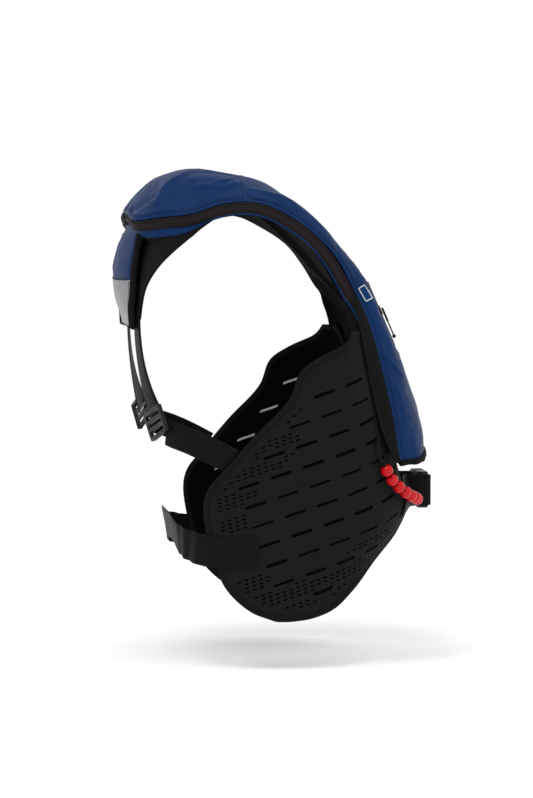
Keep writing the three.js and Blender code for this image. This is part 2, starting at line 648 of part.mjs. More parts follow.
function pullHandle() {
  const route = splineThrough(PULL_ROUTE);
  route.arcLengthDivisions = 2000;
  const total = route.getLength();
  const knotAt = FIRST_BEAD + (BEAD_COUNT - 0.5) * BEAD_PITCH + 4.5;
  const stretch = splineThrough(steps(0, (knotAt - 4.4) / total, 36).map((s) => route.getPointAt(s)));
  const section = new THREE.Shape();
  section.absarc(0, 0, CORD_DIAMETER / 2, 0, 2 * Math.PI);
  const cord = new THREE.ExtrudeGeometry(section, { extrudePath: stretch, steps: 32, curveSegments: 4 });
  place('pull_cord', cord, 'cord');
  const along = (mesh, distance) => {
    mesh.position.copy(route.getPointAt(distance / total));
    mesh.quaternion.setFromUnitVectors(UP, route.getTangentAt(distance / total));
  };
  const radius = BEAD_DIAMETER / 2;
  const edge = Math.asin(BEAD_BORE / radius);
  const round = steps(edge, Math.PI - edge, 7).map((a) => [radius * Math.sin(a), -radius * Math.cos(a)]);
  for (let k = 0; k < BEAD_COUNT; k++) {
    const ring = turned([...round, round[0]], 12);
    along(place(`pull_bead_${k + 1}`, ring, 'bead'), FIRST_BEAD + k * BEAD_PITCH);
  }
  along(place('pull_knot', new THREE.SphereGeometry(4, 10, 8), 'cord'), knotAt);
}

// ---- strap and belt hardware ----
// Stands a plate made in the XY plane on the form, its Y axis up along the form.
function standOnForm(mesh, x, y, z, distance) {
  const girth = girthOf(x, y, z);
  const outward = formNormal(girth, z).negate();
  const across = outward.clone().cross(onForm(girth, z + 5).sub(onForm(girth, z - 5))).normalize().negate();
  mesh.quaternion.setFromRotationMatrix(new THREE.Matrix4().makeBasis(across, outward.clone().cross(across), outward));
  mesh.position.copy(offForm(girth, z, distance));
}

const LADDER_SIZE = [42, 34, 4.6];
const LADDER_AT = [-124, 128, -271];
const LADDER_TILT = 0.5;

function ladderLocks() {
  const plate = () => cut(
    roundedPlate(...LADDER_SIZE, 3),
    slot(34, 6, 0, 9.5, 12), slot(34, 5, 0, 0, 12), slot(34, 6, 0, -9.5, 12),
  );
  const lean = LADDER_TILT;
  for (const side of ['right', 'left']) {
    const mesh = place(`ladder_lock_${side}`, plate(), 'plastic');
    standOnForm(mesh, ...LADDER_AT, WEB_OFFSET + WEB + 3);
    mesh.geometry.rotateZ(lean);
    if (side === 'left') {
      mesh.updateMatrix();
      mesh.geometry = mirrorGeometry(fromManifold(toManifold(mesh.geometry.applyMatrix4(mesh.matrix))));
      mesh.position.set(0, 0, 0);
      mesh.quaternion.identity();
    }
  }
}

const BUCKLE_AT = vec(0, -192, -361);
const BUCKLE_HEIGHT = 44;
const BUCKLE_THICKNESS = 14;

function buckle() {
  const upright = (geometry, x) => geometry.rotateX(Math.PI / 2).translate(BUCKLE_AT.x + x, BUCKLE_AT.y, BUCKLE_AT.z);
  const housing = roundedPlate(36, BUCKLE_HEIGHT, BUCKLE_THICKNESS, 4, 1.2);
  const socket = new THREE.BoxGeometry(28, 34, 7.4).translate(-8, 0, 0);
  const windows = [-1, 1].map((side) => slot(12, 8, -4, side * 20, 7.4));
  const rearSlot = slot(4.5, BELT_WIDTH + 1, 12.5, 0, 20);
  place('buckle_socket', upright(cut(housing, socket, ...windows, rearSlot), 14.5), 'plastic');
  const base = roundedPlate(27, BUCKLE_HEIGHT, 13, 4, 1.2);
  const prong = (y, height) => new THREE.BoxGeometry(26, height, 6).translate(21, y, 0);
  const prongs = joined(base, prong(0, 6), prong(12.5, 6), prong(-12.5, 6));
  const frontSlot = slot(4.5, BELT_WIDTH + 1, -8, 0, 20);
  place('buckle_prongs', upright(cut(prongs, frontSlot), -17.6), 'plastic');
}

// Front belt: flat on the panel, then standing off towards the buckle.
function frontBelts() {
  const stations = [
    [-94, 5.4, -370], [-78, 4.4, -367], [-62, 4.2, -364], [-48, 6, -361], [-33.5, 12, -361],
  ];
  const rows = stations.map(([x, distance, z]) => (
    steps(1, -1, 4).map((s) => frontOfForm(x, z + s * BELT_WIDTH / 2, distance))
  ));
  placePair('front_belt', shell(rows, FRONT, 0, WEB), 'webbing');
}

covers();
bladder();
gussets();
burstZips();
hems();
sidePanels();
backPanel();
webbing();
backFlap();
chestZip();
inflator();
oralInflation();
pullHandle();
ladderLocks();
buckle();
frontBelts();

export default group;
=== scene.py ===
"""Looks of the inflatable life jacket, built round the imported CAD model.

Metres, +Z up. The wearer faces -Y, and the wearer's right side is -X. Guide points are in millimetres.
"""

import math

import bmesh
import bpy
import numpy as np
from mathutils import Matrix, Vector, geometry


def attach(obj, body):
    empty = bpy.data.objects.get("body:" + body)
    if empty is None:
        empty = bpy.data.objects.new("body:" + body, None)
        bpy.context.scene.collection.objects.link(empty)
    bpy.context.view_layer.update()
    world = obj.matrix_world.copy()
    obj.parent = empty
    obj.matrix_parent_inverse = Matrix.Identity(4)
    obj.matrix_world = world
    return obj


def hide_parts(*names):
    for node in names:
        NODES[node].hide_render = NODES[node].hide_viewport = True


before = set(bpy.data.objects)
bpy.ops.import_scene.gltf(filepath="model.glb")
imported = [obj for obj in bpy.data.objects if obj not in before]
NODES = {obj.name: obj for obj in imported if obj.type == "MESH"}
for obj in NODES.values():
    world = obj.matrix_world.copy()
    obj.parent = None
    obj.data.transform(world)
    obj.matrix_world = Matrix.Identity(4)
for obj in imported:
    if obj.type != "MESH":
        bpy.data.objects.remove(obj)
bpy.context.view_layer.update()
MM = 0.001
RIGHT, MIRROR = np.ones(3), np.array([-1.0, 1.0, 1.0])

# ---------------------------------------------------------------- guide points, in mm
# Right half of the outer cover, from the lobe's hem over the shoulder to the middle of the back. Each
# station runs over the outside from the zip edge to the neck edge.
OUTER = np.array([
    [[-128, -150, -318], [-110, -176, -316], [-62, -189, -309], [-19, -189, -308], [-14, -166, -310]],
    [[-134, -144, -282], [-116, -169, -280], [-62, -184, -283], [-19, -183, -283], [-14, -156, -283]],
    [[-134, -135, -240], [-117, -157, -238], [-62, -171, -240], [-19, -172, -240], [-14, -144, -240]],
    [[-129, -122, -185], [-114, -143, -182], [-60, -153, -187], [-19, -155, -184], [-14, -130, -190]],
    [[-124, -110, -147], [-110, -127, -140], [-60, -136, -146], [-19, -138, -144], [-14, -118, -150]],
    [[-119, -95, -114], [-104, -111, -106], [-62, -119, -112], [-24, -122, -110], [-18, -106, -118]],
    [[-122, -76, -80], [-106, -88, -76], [-66, -93, -82], [-44, -94, -82], [-36, -80, -90]],
    [[-130, -49, -52], [-112, -60, -43], [-76, -60, -48], [-57, -58, -47], [-49, -50, -58]],
    [[-138, -14, -28], [-118, -20, -12], [-84, -17, -8], [-61, -15, -7], [-54, -12, -24]],
    [[-140, 12, -17], [-116, 10, 0], [-86, 9, 8], [-63, 9, 9], [-55, 9, -10]],
    [[-140, 34, -14], [-112, 34, 6], [-84, 32, 15], [-62, 30, 16], [-55, 28, -4]],
    [[-137, 62, -17], [-104, 62, 12], [-80, 56, 19], [-60, 46, 20], [-54, 40, 0]],
    [[-131, 96, -28], [-94, 94, 12], [-72, 80, 21], [-52, 58, 23], [-46, 48, 2]],
    [[-122, 131, -32], [-99, 128, -3], [-64, 104, 18], [-38, 64, 24], [-34, 50, 4]],
    [[-101, 160, -36], [-88, 144, -15], [-50, 112, 16], [-26, 60, 24], [-22, 48, 4]],
    [[-52, 165, -29], [-46, 153, -9], [-30, 124, 14], [-14, 58, 24], [-12, 46, 4]],
    [[0, 167, -27], [0, 155, -7], [0, 128, 13], [0, 56, 24], [0, 45, 4]],
], float)
LAST = len(OUTER) - 1
SHOULDER_SEAM = 10
GUSSET_TOP = 5
FORM_STATIONS = 5
LINING_GAP = 5
# The inner cover above the side panel, from the zip edge to the neck edge.
INNER = np.array([
    [[-112, -80, -120], [-70, -93, -121], [-28, -90, -120]],
    [[-116, -62, -91], [-76, -68, -98], [-42, -68, -98]],
    [[-126, -42, -65], [-82, -42, -66], [-53, -42, -68]],
    [[-134, -9, -43], [-90, -8, -36], [-57, -8, -36]],
    [[-137, 14, -32], [-94, 13, -25], [-59, 12, -23]],
    [[-138, 35, -29], [-94, 32, -19], [-59, 29, -15]],
    [[-134, 62, -33], [-92, 58, -19], [-57, 42, -10]],
    [[-127, 95, -44], [-84, 84, -23], [-50, 52, -8]],
    [[-118, 128, -48], [-72, 100, -28], [-38, 56, -7]],
    [[-98, 153, -51], [-56, 104, -32], [-25, 54, -7]],
    [[-51, 159, -45], [-30, 106, -35], [-12, 53, -7]],
    [[0, 161, -43], [0, 107, -36], [0, 52, -7]],
], float)
GUSSET_EDGE = np.array([
    [-134, -145, -321], [-143, -128, -283], [-142, -117, -240], [-140, -106, -185], [-130, -100, -147],
    [-121, -87, -112],
], float)
# The wearer's body: height, half width, depth to the front, depth to the back, squareness of the front.
BODY_FORM = np.array([
    [-500, 160, 116, 110, 3], [-470, 154, 121, 105, 3], [-440, 151, 131, 103, 3], [-405, 152, 156, 108, 3],
    [-370, 156, 170, 117, 2.9], [-340, 160, 158, 127, 3.2], [-300, 165, 146, 138, 3.8],
    [-250, 168, 133, 146, 4], [-170, 165, 112, 154, 4], [-100, 156, 88, 151, 4], [-40, 145, 40, 138, 4],
], float)
BACK_SQUARENESS = 4
PANEL_REAR = [
    (-158, 4, -503), (-155, 31, -491), (-152, 57, -465), (-150, 73, -434), (-146, 81, -398),
    (-150, 83, -367), (-154, 78, -348), (-160, 62, -328), (-163, 46, -311), (-166, 20, -284),
    (-168, -8, -244), (-168, -27, -212), (-163, -51, -196), (-150, -80, -180), (-140, -86, -168),
]
PANEL_FRONT = [
    (-158, -16, -503), (-157, -41, -500), (-149, -70, -490), (-130, -97, -470), (-105, -121, -448),
    (-80, -141, -427), (-55, -157, -404), (-42, -166, -384), (-36, -170, -360), (-36, -160, -335),
    (-48, -146, -300), (-74, -131, -250), (-98, -114, -205), (-112, -103, -180), (-118, -98, -168),
]


# ---------------------------------------------------------------- curves
def spline(points, at):
    """Centripetal Catmull-Rom curve through points; at counts steps from one point to the next."""
    p = np.asarray(points, float)
    p = np.concatenate([2 * p[:1] - p[1:2], p, 2 * p[-1:] - p[-2:-1]])
    at = np.atleast_1d(np.asarray(at, float))
    i = np.clip(at.astype(int), 0, len(p) - 4)
    u = (at - i)[:, None]
    a, b, c, d = (p[i + k] for k in range(4))
    before, here, after = (
        np.maximum(np.sqrt(np.linalg.norm(q - r, axis=1)), 1e-4)[:, None]
        for q, r in ((b, a), (c, b), (d, c))
    )
    start = ((b - a) / before - (c - a) / (before + here) + (c - b) / here) * here
    end = ((c - b) / here - (d - b) / (here + after) + (d - c) / after) * here
    return b + u * start + u**2 * (3 * (c - b) - 2 * start - end) + u**3 * (2 * (b - c) + start + end)


def along_of(line):
    """The distance along a polyline from its first point to each of its points."""
    return np.concatenate([[0], np.cumsum(np.linalg.norm(np.diff(line, axis=0), axis=1))])


def read_off(at, along, values):
    """Rows of values that belong to distances along a line, read off at other distances."""
    return np.stack([np.interp(at, along, values[:, k]) for k in range(values.shape[1])], axis=-1)


def evenly(line, shares):
    """Points of a dense polyline at shares of its length."""
    line = np.asarray(line, float)
    lengths = along_of(line)
    return read_off(np.asarray(shares) * lengths[-1], lengths, line)


def dense(points, each=16):
    return spline(points, np.linspace(0, len(points) - 1, each * (len(points) - 1) + 1))


def unit(v):
    return v / np.maximum(np.linalg.norm(v, axis=-1, keepdims=True), 1e-9)


def tangents(line):
    return unit(np.gradient(line, axis=0))


def cubic(values, at):
    """Uniform Catmull-Rom interpolation along the first axis."""
    i = np.clip(at.astype(int), 0, len(values) - 2)
    u = (at - i).reshape([-1] + [1] * (values.ndim - 1))
    last = len(values) - 1
    b, c = values[i], values[i + 1]
    a = np.where((i > 0).reshape(u.shape), values[np.maximum(i - 1, 0)], 2 * b - c)
    d = np.where((i + 2 <= last).reshape(u.shape), values[np.minimum(i + 2, last)], 2 * c - b)
    return b + u / 2 * (c - a) + u**2 / 2 * (2 * a - 5 * b + 4 * c - d) + u**3 / 2 * (3 * (b - c) + d - a)


def finer(grid, times):
    for axis in (0, 1):
        grid = np.swapaxes(grid, 0, axis)
        grid = cubic(grid, np.linspace(0, len(grid) - 1, times * (len(grid) - 1) + 1))
        grid = np.swapaxes(grid, 0, axis)
    return grid


def normals_of(grid, toward):
    """The grid's normals on the side that a direction points to."""
    normals = unit(np.cross(np.gradient(grid, axis=0), np.gradient(grid, axis=1)))
    middle = normals[len(normals) // 2, normals.shape[1] // 2]
    return normals * np.sign(middle @ np.asarray(toward, float))


def outward_of(grid):
    """The outward directions of a grid that runs up the right side, row by row from zip to neck."""
    return unit(np.cross(np.gradient(grid, axis=1), np.gradient(grid, axis=0)))


def edge_distances(grid):
    """The distance of each point, along its row, from the nearer end of the row."""
    along = np.cumsum(np.linalg.norm(np.diff(grid, axis=1, prepend=grid[:, :1]), axis=-1), axis=1)
    return np.minimum(along, along[:, -1:] - along)


def mirrored_on(grid, axis=0):
    """A right half whose last line is on the centre plane, carried on over to the left."""
    rest = np.flip(np.delete(grid, -1, axis), axis)
    return np.concatenate([grid, rest * MIRROR], axis=axis)


def both_sides(make):
    """Calls make(name ending, mirror) for the right and the left side."""
    make("right", RIGHT)
    make("left", MIRROR)


# ---------------------------------------------------------------- the body form
def form_at(z):
    """The form's half width, two depths and squareness at a height, from a smooth curve through BODY_FORM."""
    rows = BODY_FORM
    z = np.clip(z, rows[0, 0], rows[-1, 0])
    i = min(int(np.searchsorted(rows[:, 0], z, "right")) - 1, len(rows) - 2)
    before, start, end, after = (rows[np.clip(i + k, 0, len(rows) - 1)] for k in (-1, 0, 1, 2))
    span = end[0] - start[0]
    t = (z - start[0]) / span
    leave = span * (end - before) / (end[0] - before[0])
    arrive = span * (after - start) / (after[0] - start[0])
    value = (2 * t**3 - 3 * t**2 + 1) * start + (t**3 - 2 * t**2 + t) * leave
    return (value + (3 * t**2 - 2 * t**3) * end + (t**3 - t**2) * arrive)[1:]


LOWEST, HIGHEST = -520, -40
GIRTH_BACK, GIRTH_FRONT, GIRTH_STEP = -260, 340, 2


def outline_at(z, samples=480):
    """The form's outline on the right side from back to front: x, y and girth, which is 0 at the side."""
    half, front, back, squareness = form_at(z)
    angle = np.pi * (np.arange(samples + 1) / samples - 0.5)
    power = np.where(angle > 0, 2 / squareness, 2 / BACK_SQUARENESS)
    x = -half * np.abs(np.cos(angle)) ** power
    y = np.where(angle > 0, -front, back) * np.abs(np.sin(angle)) ** power
    length = np.concatenate([[0], np.cumsum(np.hypot(np.diff(x), np.diff(y)))])
    return x, y, length - length[samples // 2]


def form_table():
    heights = np.arange(LOWEST, HIGHEST + 1)
    girths = np.arange(GIRTH_BACK, GIRTH_FRONT + 1, GIRTH_STEP)
    table = np.zeros((len(heights), len(girths), 2))
    for k, z in enumerate(heights):
        x, y, length = outline_at(z)
        table[k, :, 0] = np.interp(girths, length, x)
        table[k, :, 1] = np.interp(girths, length, y)
    return table


FORM = form_table()


def on_form(girth, z):
    """Points of the form at girth coordinates, positive to the front, and heights."""
    girth, z = np.broadcast_arrays(np.asarray(girth, float), np.asarray(z, float))
    a = np.clip(z - LOWEST, 0, len(FORM) - 1.001)
    b = np.clip((girth - GIRTH_BACK) / GIRTH_STEP, 0, FORM.shape[1] - 1.001)
    i, j = a.astype(int), b.astype(int)
    u, v = (a - i)[..., None], (b - j)[..., None]
    xy = (1 - u) * ((1 - v) * FORM[i, j] + v * FORM[i, j + 1])
    xy = xy + u * ((1 - v) * FORM[i + 1, j] + v * FORM[i + 1, j + 1])
    return np.concatenate([xy, z[..., None]], axis=-1)


def form_out(girth, z, step=4):
    """The form's outward direction."""
    around = on_form(girth + step, z) - on_form(girth - step, z)
    up = on_form(girth, z + step) - on_form(girth, z - step)
    return unit(np.cross(around, up))


def off_form(girth, z, distance):
    """Points at a distance outside the form."""
    distance = np.asarray(distance, float)
    if distance.ndim:
        distance = distance[..., None]
    return on_form(girth, z) + distance * form_out(girth, z)


def girth_of(x, y, z):
    px, py, length = outline_at(z, 240)
    return length[np.argmin(np.hypot(px - x, py - y))]


def flat_points(points):
    """Pairs of girth and height for points near the form."""
    return np.array([[girth_of(*p), p[2]] for p in points])


def front_of_form(x, z, distance):
    half, front, _, squareness = form_at(z)
    y = -front * (1 - (abs(x) / half) ** squareness) ** (1 / squareness)
    return np.array([x, y - distance, z])


# ---------------------------------------------------------------- the cover's surfaces
def inner_station(i):
    if i >= FORM_STATIONS:
        return INNER[i - FORM_STATIONS]
    z = OUTER[i][2][2]
    return np.array([front_of_form(x, z, LINING_GAP) for x in (-114 + 2.2 * i, -66, -17)])


INNER_ALL = np.array([inner_station(i) for i in range(LAST + 1)])


def cover_grid(guides, stations, shares):
    columns = np.stack([spline(guides[:, k], stations) for k in range(guides.shape[1])])
    return np.stack([evenly(dense(columns[:, r]), shares) for r in range(len(stations))])


# ---------------------------------------------------------------- materials
def add(tree, kind, settings=None, **inputs):
    """A shader node with its settings and its input values or links; _0 names an input by its number."""
    made = tree.nodes.new("ShaderNode" + kind)
    for key, value in (settings or {}).items():
        setattr(made, key, value)
    for key, value in inputs.items():
        socket = made.inputs[int(key[1:])] if key[1:].isdigit() else made.inputs[key.replace("_", " ")]
        if isinstance(value, bpy.types.NodeSocket):
            tree.links.new(value, socket)
        else:
            socket.default_value = value
    return made


def rgb(r, g, b):
    """An sRGB colour, 0 to 255, as a linear one."""
    parts = [c / 255 for c in (r, g, b)]
    return [c / 12.92 if c < 0.04045 else ((c + 0.055) / 1.055) ** 2.4 for c in parts] + [1.0]


def new_material(name):
    material = bpy.data.materials.new(name)
    material.use_nodes = True
    tree = material.node_tree
    tree.nodes.clear()
    out = add(tree, "OutputMaterial")
    shader = add(tree, "BsdfPrincipled")
    tree.links.new(shader.outputs[0], out.inputs[0])
    return material, tree, shader


def varied(tree, vector, colour, spread, scale):
    """The colour with soft lighter and darker areas."""
    noise = add(tree, "TexNoise", Vector=vector, Scale=scale, Detail=4.0, Roughness=0.6)
    dark = [c * (1 - spread) for c in colour[:3]] + [1.0]
    light = [c * (1 + spread) for c in colour[:3]] + [1.0]
    ramp = add(tree, "ValToRGB", Fac=noise.outputs["Fac"])
    ramp.color_ramp.elements[0].position, ramp.color_ramp.elements[1].position = 0.3, 0.7
    ramp.color_ramp.elements[0].color, ramp.color_ramp.elements[1].color = dark, light
    return ramp.outputs["Color"], noise.outputs["Fac"]


def ranged(tree, value, low, high):
    return add(tree, "MapRange", Value=value, To_Min=low, To_Max=high).outputs[0]


WAVE_PERIOD = math.pi / 10  # of a wave texture of scale 1


def wave(tree, vector, pitch, direction, wobble=0.0):
    return add(tree, "TexWave", {"bands_direction": direction}, Vector=vector, Scale=WAVE_PERIOD / pitch,
               Distortion=wobble, Detail=1.0).outputs["Fac"]


def maths(tree, operation, a, b):
    return add(tree, "Math", {"operation": operation}, _0=a, _1=b).outputs[0]


def set_bump(tree, shader, height, depth, strength):
    bump = add(tree, "Bump", Height=height, Distance=depth, Strength=strength)
    tree.links.new(bump.outputs[0], shader.inputs["Normal"])


def multiplied(tree, colour, factor, strength):
    made = add(tree, "MixRGB", {"blend_type": "MULTIPLY"}, Fac=strength, Color1=colour, Color2=factor)
    return made.outputs[0]


def cloth(name, colour, pitch, rough=0.75, sheen=0.03, depth=0.0002, ior=1.18, twill=False, specks=0.0):
    """Woven fabric. Its weave follows the UV map, which is in metres."""
    material, tree, shader = new_material(name)
    uv = add(tree, "TexCoord").outputs["UV"]
    place = add(tree, "TexCoord").outputs["Object"]
    tone, noise = varied(tree, place, colour, 0.12, 14.0)
    warp = wave(tree, uv, pitch, "DIAGONAL" if twill else "X", 0.3)
    weft = wave(tree, uv, pitch, "Y", 0.3)
    weave = maths(tree, "MULTIPLY", warp, weft)
    yarn = add(tree, "TexNoise", Vector=uv, Scale=0.6 / pitch, Detail=2.0).outputs["Fac"]
    height = maths(tree, "ADD", weave, maths(tree, "MULTIPLY", yarn, 0.6))
    colour_out = multiplied(tree, tone, ranged(tree, height, 0.55, 1.25), 0.35)
    if specks:
        grain = add(tree, "TexNoise", Vector=uv, Scale=2.5 / pitch, Detail=1.0).outputs["Fac"]
        grain = add(tree, "MapRange", Value=grain, From_Min=0.55, From_Max=0.75).outputs[0]
        lighter = add(tree, "MixRGB", Fac=maths(tree, "MULTIPLY", grain, specks), Color1=colour_out,
                      Color2=[min(1.0, 3 * c + 0.02) for c in colour[:3]] + [1.0])
        colour_out = lighter.outputs[0]
    tree.links.new(colour_out, shader.inputs["Base Color"])
    tree.links.new(ranged(tree, noise, rough - 0.08, rough + 0.08), shader.inputs["Roughness"])
    shader.inputs["IOR"].default_value = ior
    shader.inputs["Sheen Weight"].default_value = sheen
    shader.inputs["Sheen Roughness"].default_value = 0.4
    shader.inputs["Sheen Tint"].default_value = [min(1.0, 0.4 + 1.5 * c) for c in colour[:3]] + [1.0]
    set_bump(tree, shader, height, depth, 0.7)
    return material


def moulded(name, colour, rough=0.4, grain=0.00004, coat=0.0, metal=0.0, spread=0.08, ior=1.45):
    """Moulded plastic or metal with a fine grain and uneven gloss."""
    material, tree, shader = new_material(name)
    place = add(tree, "TexCoord").outputs["Object"]
    tone, noise = varied(tree, place, colour, spread, 35.0)
    tree.links.new(tone, shader.inputs["Base Color"])
    tree.links.new(ranged(tree, noise, rough - 0.06, rough + 0.08), shader.inputs["Roughness"])
    shader.inputs["IOR"].default_value = ior
    shader.inputs["Metallic"].default_value = metal
    shader.inputs["Coat Weight"].default_value = coat
    shader.inputs["Coat Roughness"].default_value = 0.08
    fine = add(tree, "TexNoise", Vector=place, Scale=900.0, Detail=3.0).outputs["Fac"]
    set_bump(tree, shader, fine, grain, 0.6)
    return material


def hatched(name):
    """Silver reflective fabric with a fine diagonal hatch."""
    material, tree, shader = new_material(name)
    uv = add(tree, "TexCoord").outputs["UV"]
    place = add(tree, "TexCoord").outputs["Object"]
    tone, noise = varied(tree, place, rgb(122, 124, 127), 0.1, 20.0)
    lines = maths(tree, "MAXIMUM", wave(tree, uv, 0.0042, "DIAGONAL"), wave(tree, uv, 0.0013, "X"))
    shade = multiplied(tree, tone, ranged(tree, lines, 0.4, 1.0), 0.6)
    tree.links.new(shade, shader.inputs["Base Color"])
    tree.links.new(ranged(tree, noise, 0.3, 0.5), shader.inputs["Roughness"])
    shader.inputs["Metallic"].default_value = 0.2
    set_bump(tree, shader, lines, 0.0001, 0.6)
    return material


BLUE = cloth("cover fabric", rgb(8, 41, 84), 0.0007, rough=0.45, sheen=0.0, ior=1.15)
BLUE_EDGE = cloth("cover edge", rgb(11, 46, 92), 0.0007, rough=0.5, sheen=0.0, ior=1.15)
BLUE_THREAD = cloth("blue thread", rgb(8, 20, 44), 0.0003, rough=0.6)
BLACK = cloth("black fabric", rgb(14, 12, 13), 0.0008, rough=0.8)
PANEL = cloth("panel fabric", rgb(19, 19, 21), 0.0010, rough=0.8, specks=0.3)
# The darkest black is the mesh backing's own colour. The lobe linings use it too, as painted shade for the
# shadow that a wearer's body casts inside them.
BACKING_AND_LINING_SHADE = cloth("mesh backing and painted lining shade", rgb(6, 6, 7), 0.0012, rough=0.9, ior=1.1)
BINDING = cloth("binding tape", rgb(17, 15, 17), 0.0014, rough=0.8, depth=0.0003)
WEBBING = cloth("webbing", rgb(12, 12, 14), 0.0018, rough=0.5, sheen=0.0, depth=0.0005, ior=1.16, twill=True)
TAPE = cloth("zip tape", rgb(36, 29, 30), 0.0011, rough=0.75, depth=0.0003, twill=True)
THREAD = cloth("black thread", rgb(24, 24, 26), 0.0003, rough=0.6)
WHITE_THREAD = cloth("white thread", rgb(225, 226, 228), 0.0003, rough=0.6)
SILVER = hatched("reflective fabric")
YELLOW = cloth("bladder fabric", rgb(214, 170, 18), 0.0006, rough=0.45, ior=1.35)
CORD = cloth("cord", rgb(16, 16, 18), 0.0012, rough=0.7, twill=True)
RED = moulded("red plastic", rgb(186, 0, 10), rough=0.24, grain=0.00001, coat=0.06, spread=0.05, ior=1.3)
PLASTIC = moulded("black plastic", rgb(12, 12, 14), rough=0.36, ior=1.3)
COIL = moulded("zip coil", rgb(30, 25, 26), rough=0.5, ior=1.3)
STEEL = moulded("plated steel", rgb(176, 178, 182), rough=0.3, metal=1.0)
GREEN = moulded("green plastic", rgb(30, 120, 50), rough=0.4)
ORANGE = moulded("orange plastic", rgb(214, 80, 14), rough=0.35)


# ---------------------------------------------------------------- mesh builders
SHARP_ANGLE = 0.7


def finish_object(name, mesh, material, stands_for=(), body="jacket"):
    """The mesh as an object that rides a body, in place of the CAD nodes it stands for."""
    mesh.materials.append(material)
    mesh.shade_smooth()
    mesh.set_sharp_from_angle(angle=SHARP_ANGLE)
    made = bpy.data.objects.new(name, mesh)
    bpy.context.scene.collection.objects.link(made)
    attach(made, body)
    if stands_for:
        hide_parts(*stands_for)
    return made


def mesh_from(name, points, faces, uvs=None):
    """A mesh from points in mm, faces, and one UV in metres for each point."""
    mesh = bpy.data.meshes.new(name)
    mesh.from_pydata((np.asarray(points) * MM).tolist(), [], [tuple(f) for f in faces])
    if uvs is not None:
        layer = mesh.uv_layers.new(name="UVMap")
        corners = np.zeros(len(mesh.loops), int)
        mesh.loops.foreach_get("vertex_index", corners)
        layer.data.foreach_set("uv", np.asarray(uvs, np.float32)[corners].ravel())
    mesh.update()
    return mesh


def grid_faces(rows, columns, start=0, flip=False, around=False):
    """Faces between a grid's points; around closes each row into a ring."""
    i, j = np.meshgrid(np.arange(rows - 1), np.arange(columns if around else columns - 1), indexing="ij")
    k = (j + 1) % columns
    quad = [i * columns + j, i * columns + k, (i + 1) * columns + k, (i + 1) * columns + j]
    return start + np.stack([q.ravel() for q in (quad[::-1] if flip else quad)], axis=1)


def grid_uv(grid):
    """UVs in metres from the distances along the grid's middle row and column."""
    rows, columns = grid.shape[:2]
    v = along_of(grid[:, columns // 2]) * MM
    u = along_of(grid[rows // 2]) * MM
    return np.stack(np.broadcast_arrays(u[None, :], v[:, None]), axis=-1).reshape(-1, 2)


def layered(name, top, bottom, material, stands_for=(), body="jacket"):
    """A closed sheet between two grids of the same size; top is the outer face."""
    rows, columns = top.shape[:2]
    count = rows * columns
    normal = np.cross(top[1:, :-1] - top[:-1, :-1], top[:-1, 1:] - top[:-1, :-1])
    flip = (normal * (top - bottom)[:-1, :-1]).sum() > 0
    index = np.arange(count).reshape(rows, columns)
    rim = np.concatenate([index[0], index[1:, -1], index[-1, -2::-1], index[-2:0:-1, 0]])
    after = np.roll(rim, -1)
    walls = np.stack([after, after + count, rim + count, rim], axis=1)
    faces = np.concatenate([
        grid_faces(rows, columns, 0, flip), grid_faces(rows, columns, count, not flip),
        walls if flip else walls[:, ::-1],
    ])
    points = np.concatenate([top.reshape(-1, 3), bottom.reshape(-1, 3)])
    uv = grid_uv(top)
    mesh = mesh_from(name, points, faces, np.concatenate([uv, uv]))
    return finish_object(name, mesh, material, stands_for, body)


def tube_grid(line, radius, sides, flat, out):
    """Rings round a line; out, if given, is the direction of each ring's short axis, radius * flat."""
    t = tangents(line)
    if out is None:
        out = np.cross(t, [0.0, 0.0, 1.0]) + np.cross(t, [0.3, 1.0, 0.0]) * 0.01
    side = unit(np.cross(t, out))
    out = unit(np.cross(side, t))
    turn = np.linspace(0, 2 * np.pi, sides, endpoint=False)
    ring = np.cos(turn)[None, :, None] * side[:, None] + flat * np.sin(turn)[None, :, None] * out[:, None]
    return line[:, None] + radius * ring


def tube_faces(rows, sides):
    ends = [tuple(range(sides))[::-1], tuple((rows - 1) * sides + k for k in range(sides))]
    return [tuple(f) for f in grid_faces(rows, sides, around=True)] + ends


def tube(line, radius, sides=8, flat=1.0, out=None):
    """Points, faces and UVs of a closed tube along a line."""
    grid = tube_grid(line, radius, sides, flat, out)
    length = along_of(line) * MM
    around = np.arange(sides) / sides * 2 * np.pi * radius * MM
    uv = np.stack(np.broadcast_arrays(around[None, :], length[:, None]), axis=-1).reshape(-1, 2)
    return grid.reshape(-1, 3), tube_faces(len(line), sides), uv


def closed_tube(name, line, radius, flat, out, material, sides=10, body="jacket"):
    points, faces, uv = tube(line, radius, sides, flat, out)
    return finish_object(name, mesh_from(name, points, faces, uv), material, body=body)


class Heap:
    """Many small closed bodies gathered into one mesh."""

    def __init__(self):
        self.points, self.faces, self.uvs, self.count = [], [], [], 0

    def put(self, points, faces, uvs=None):
        self.points.append(np.asarray(points, float))
        self.faces += [tuple(int(i) + self.count for i in f) for f in faces]
        self.uvs.append(np.zeros((len(points), 2)) if uvs is None else uvs)
        self.count += len(points)

    def make(self, name, material, slot, stands_for=(), body="jacket"):
        mesh = mesh_from(name, np.concatenate(self.points), self.faces, np.concatenate(self.uvs))
        return finish_object(name, mesh, material, stands_for, body)


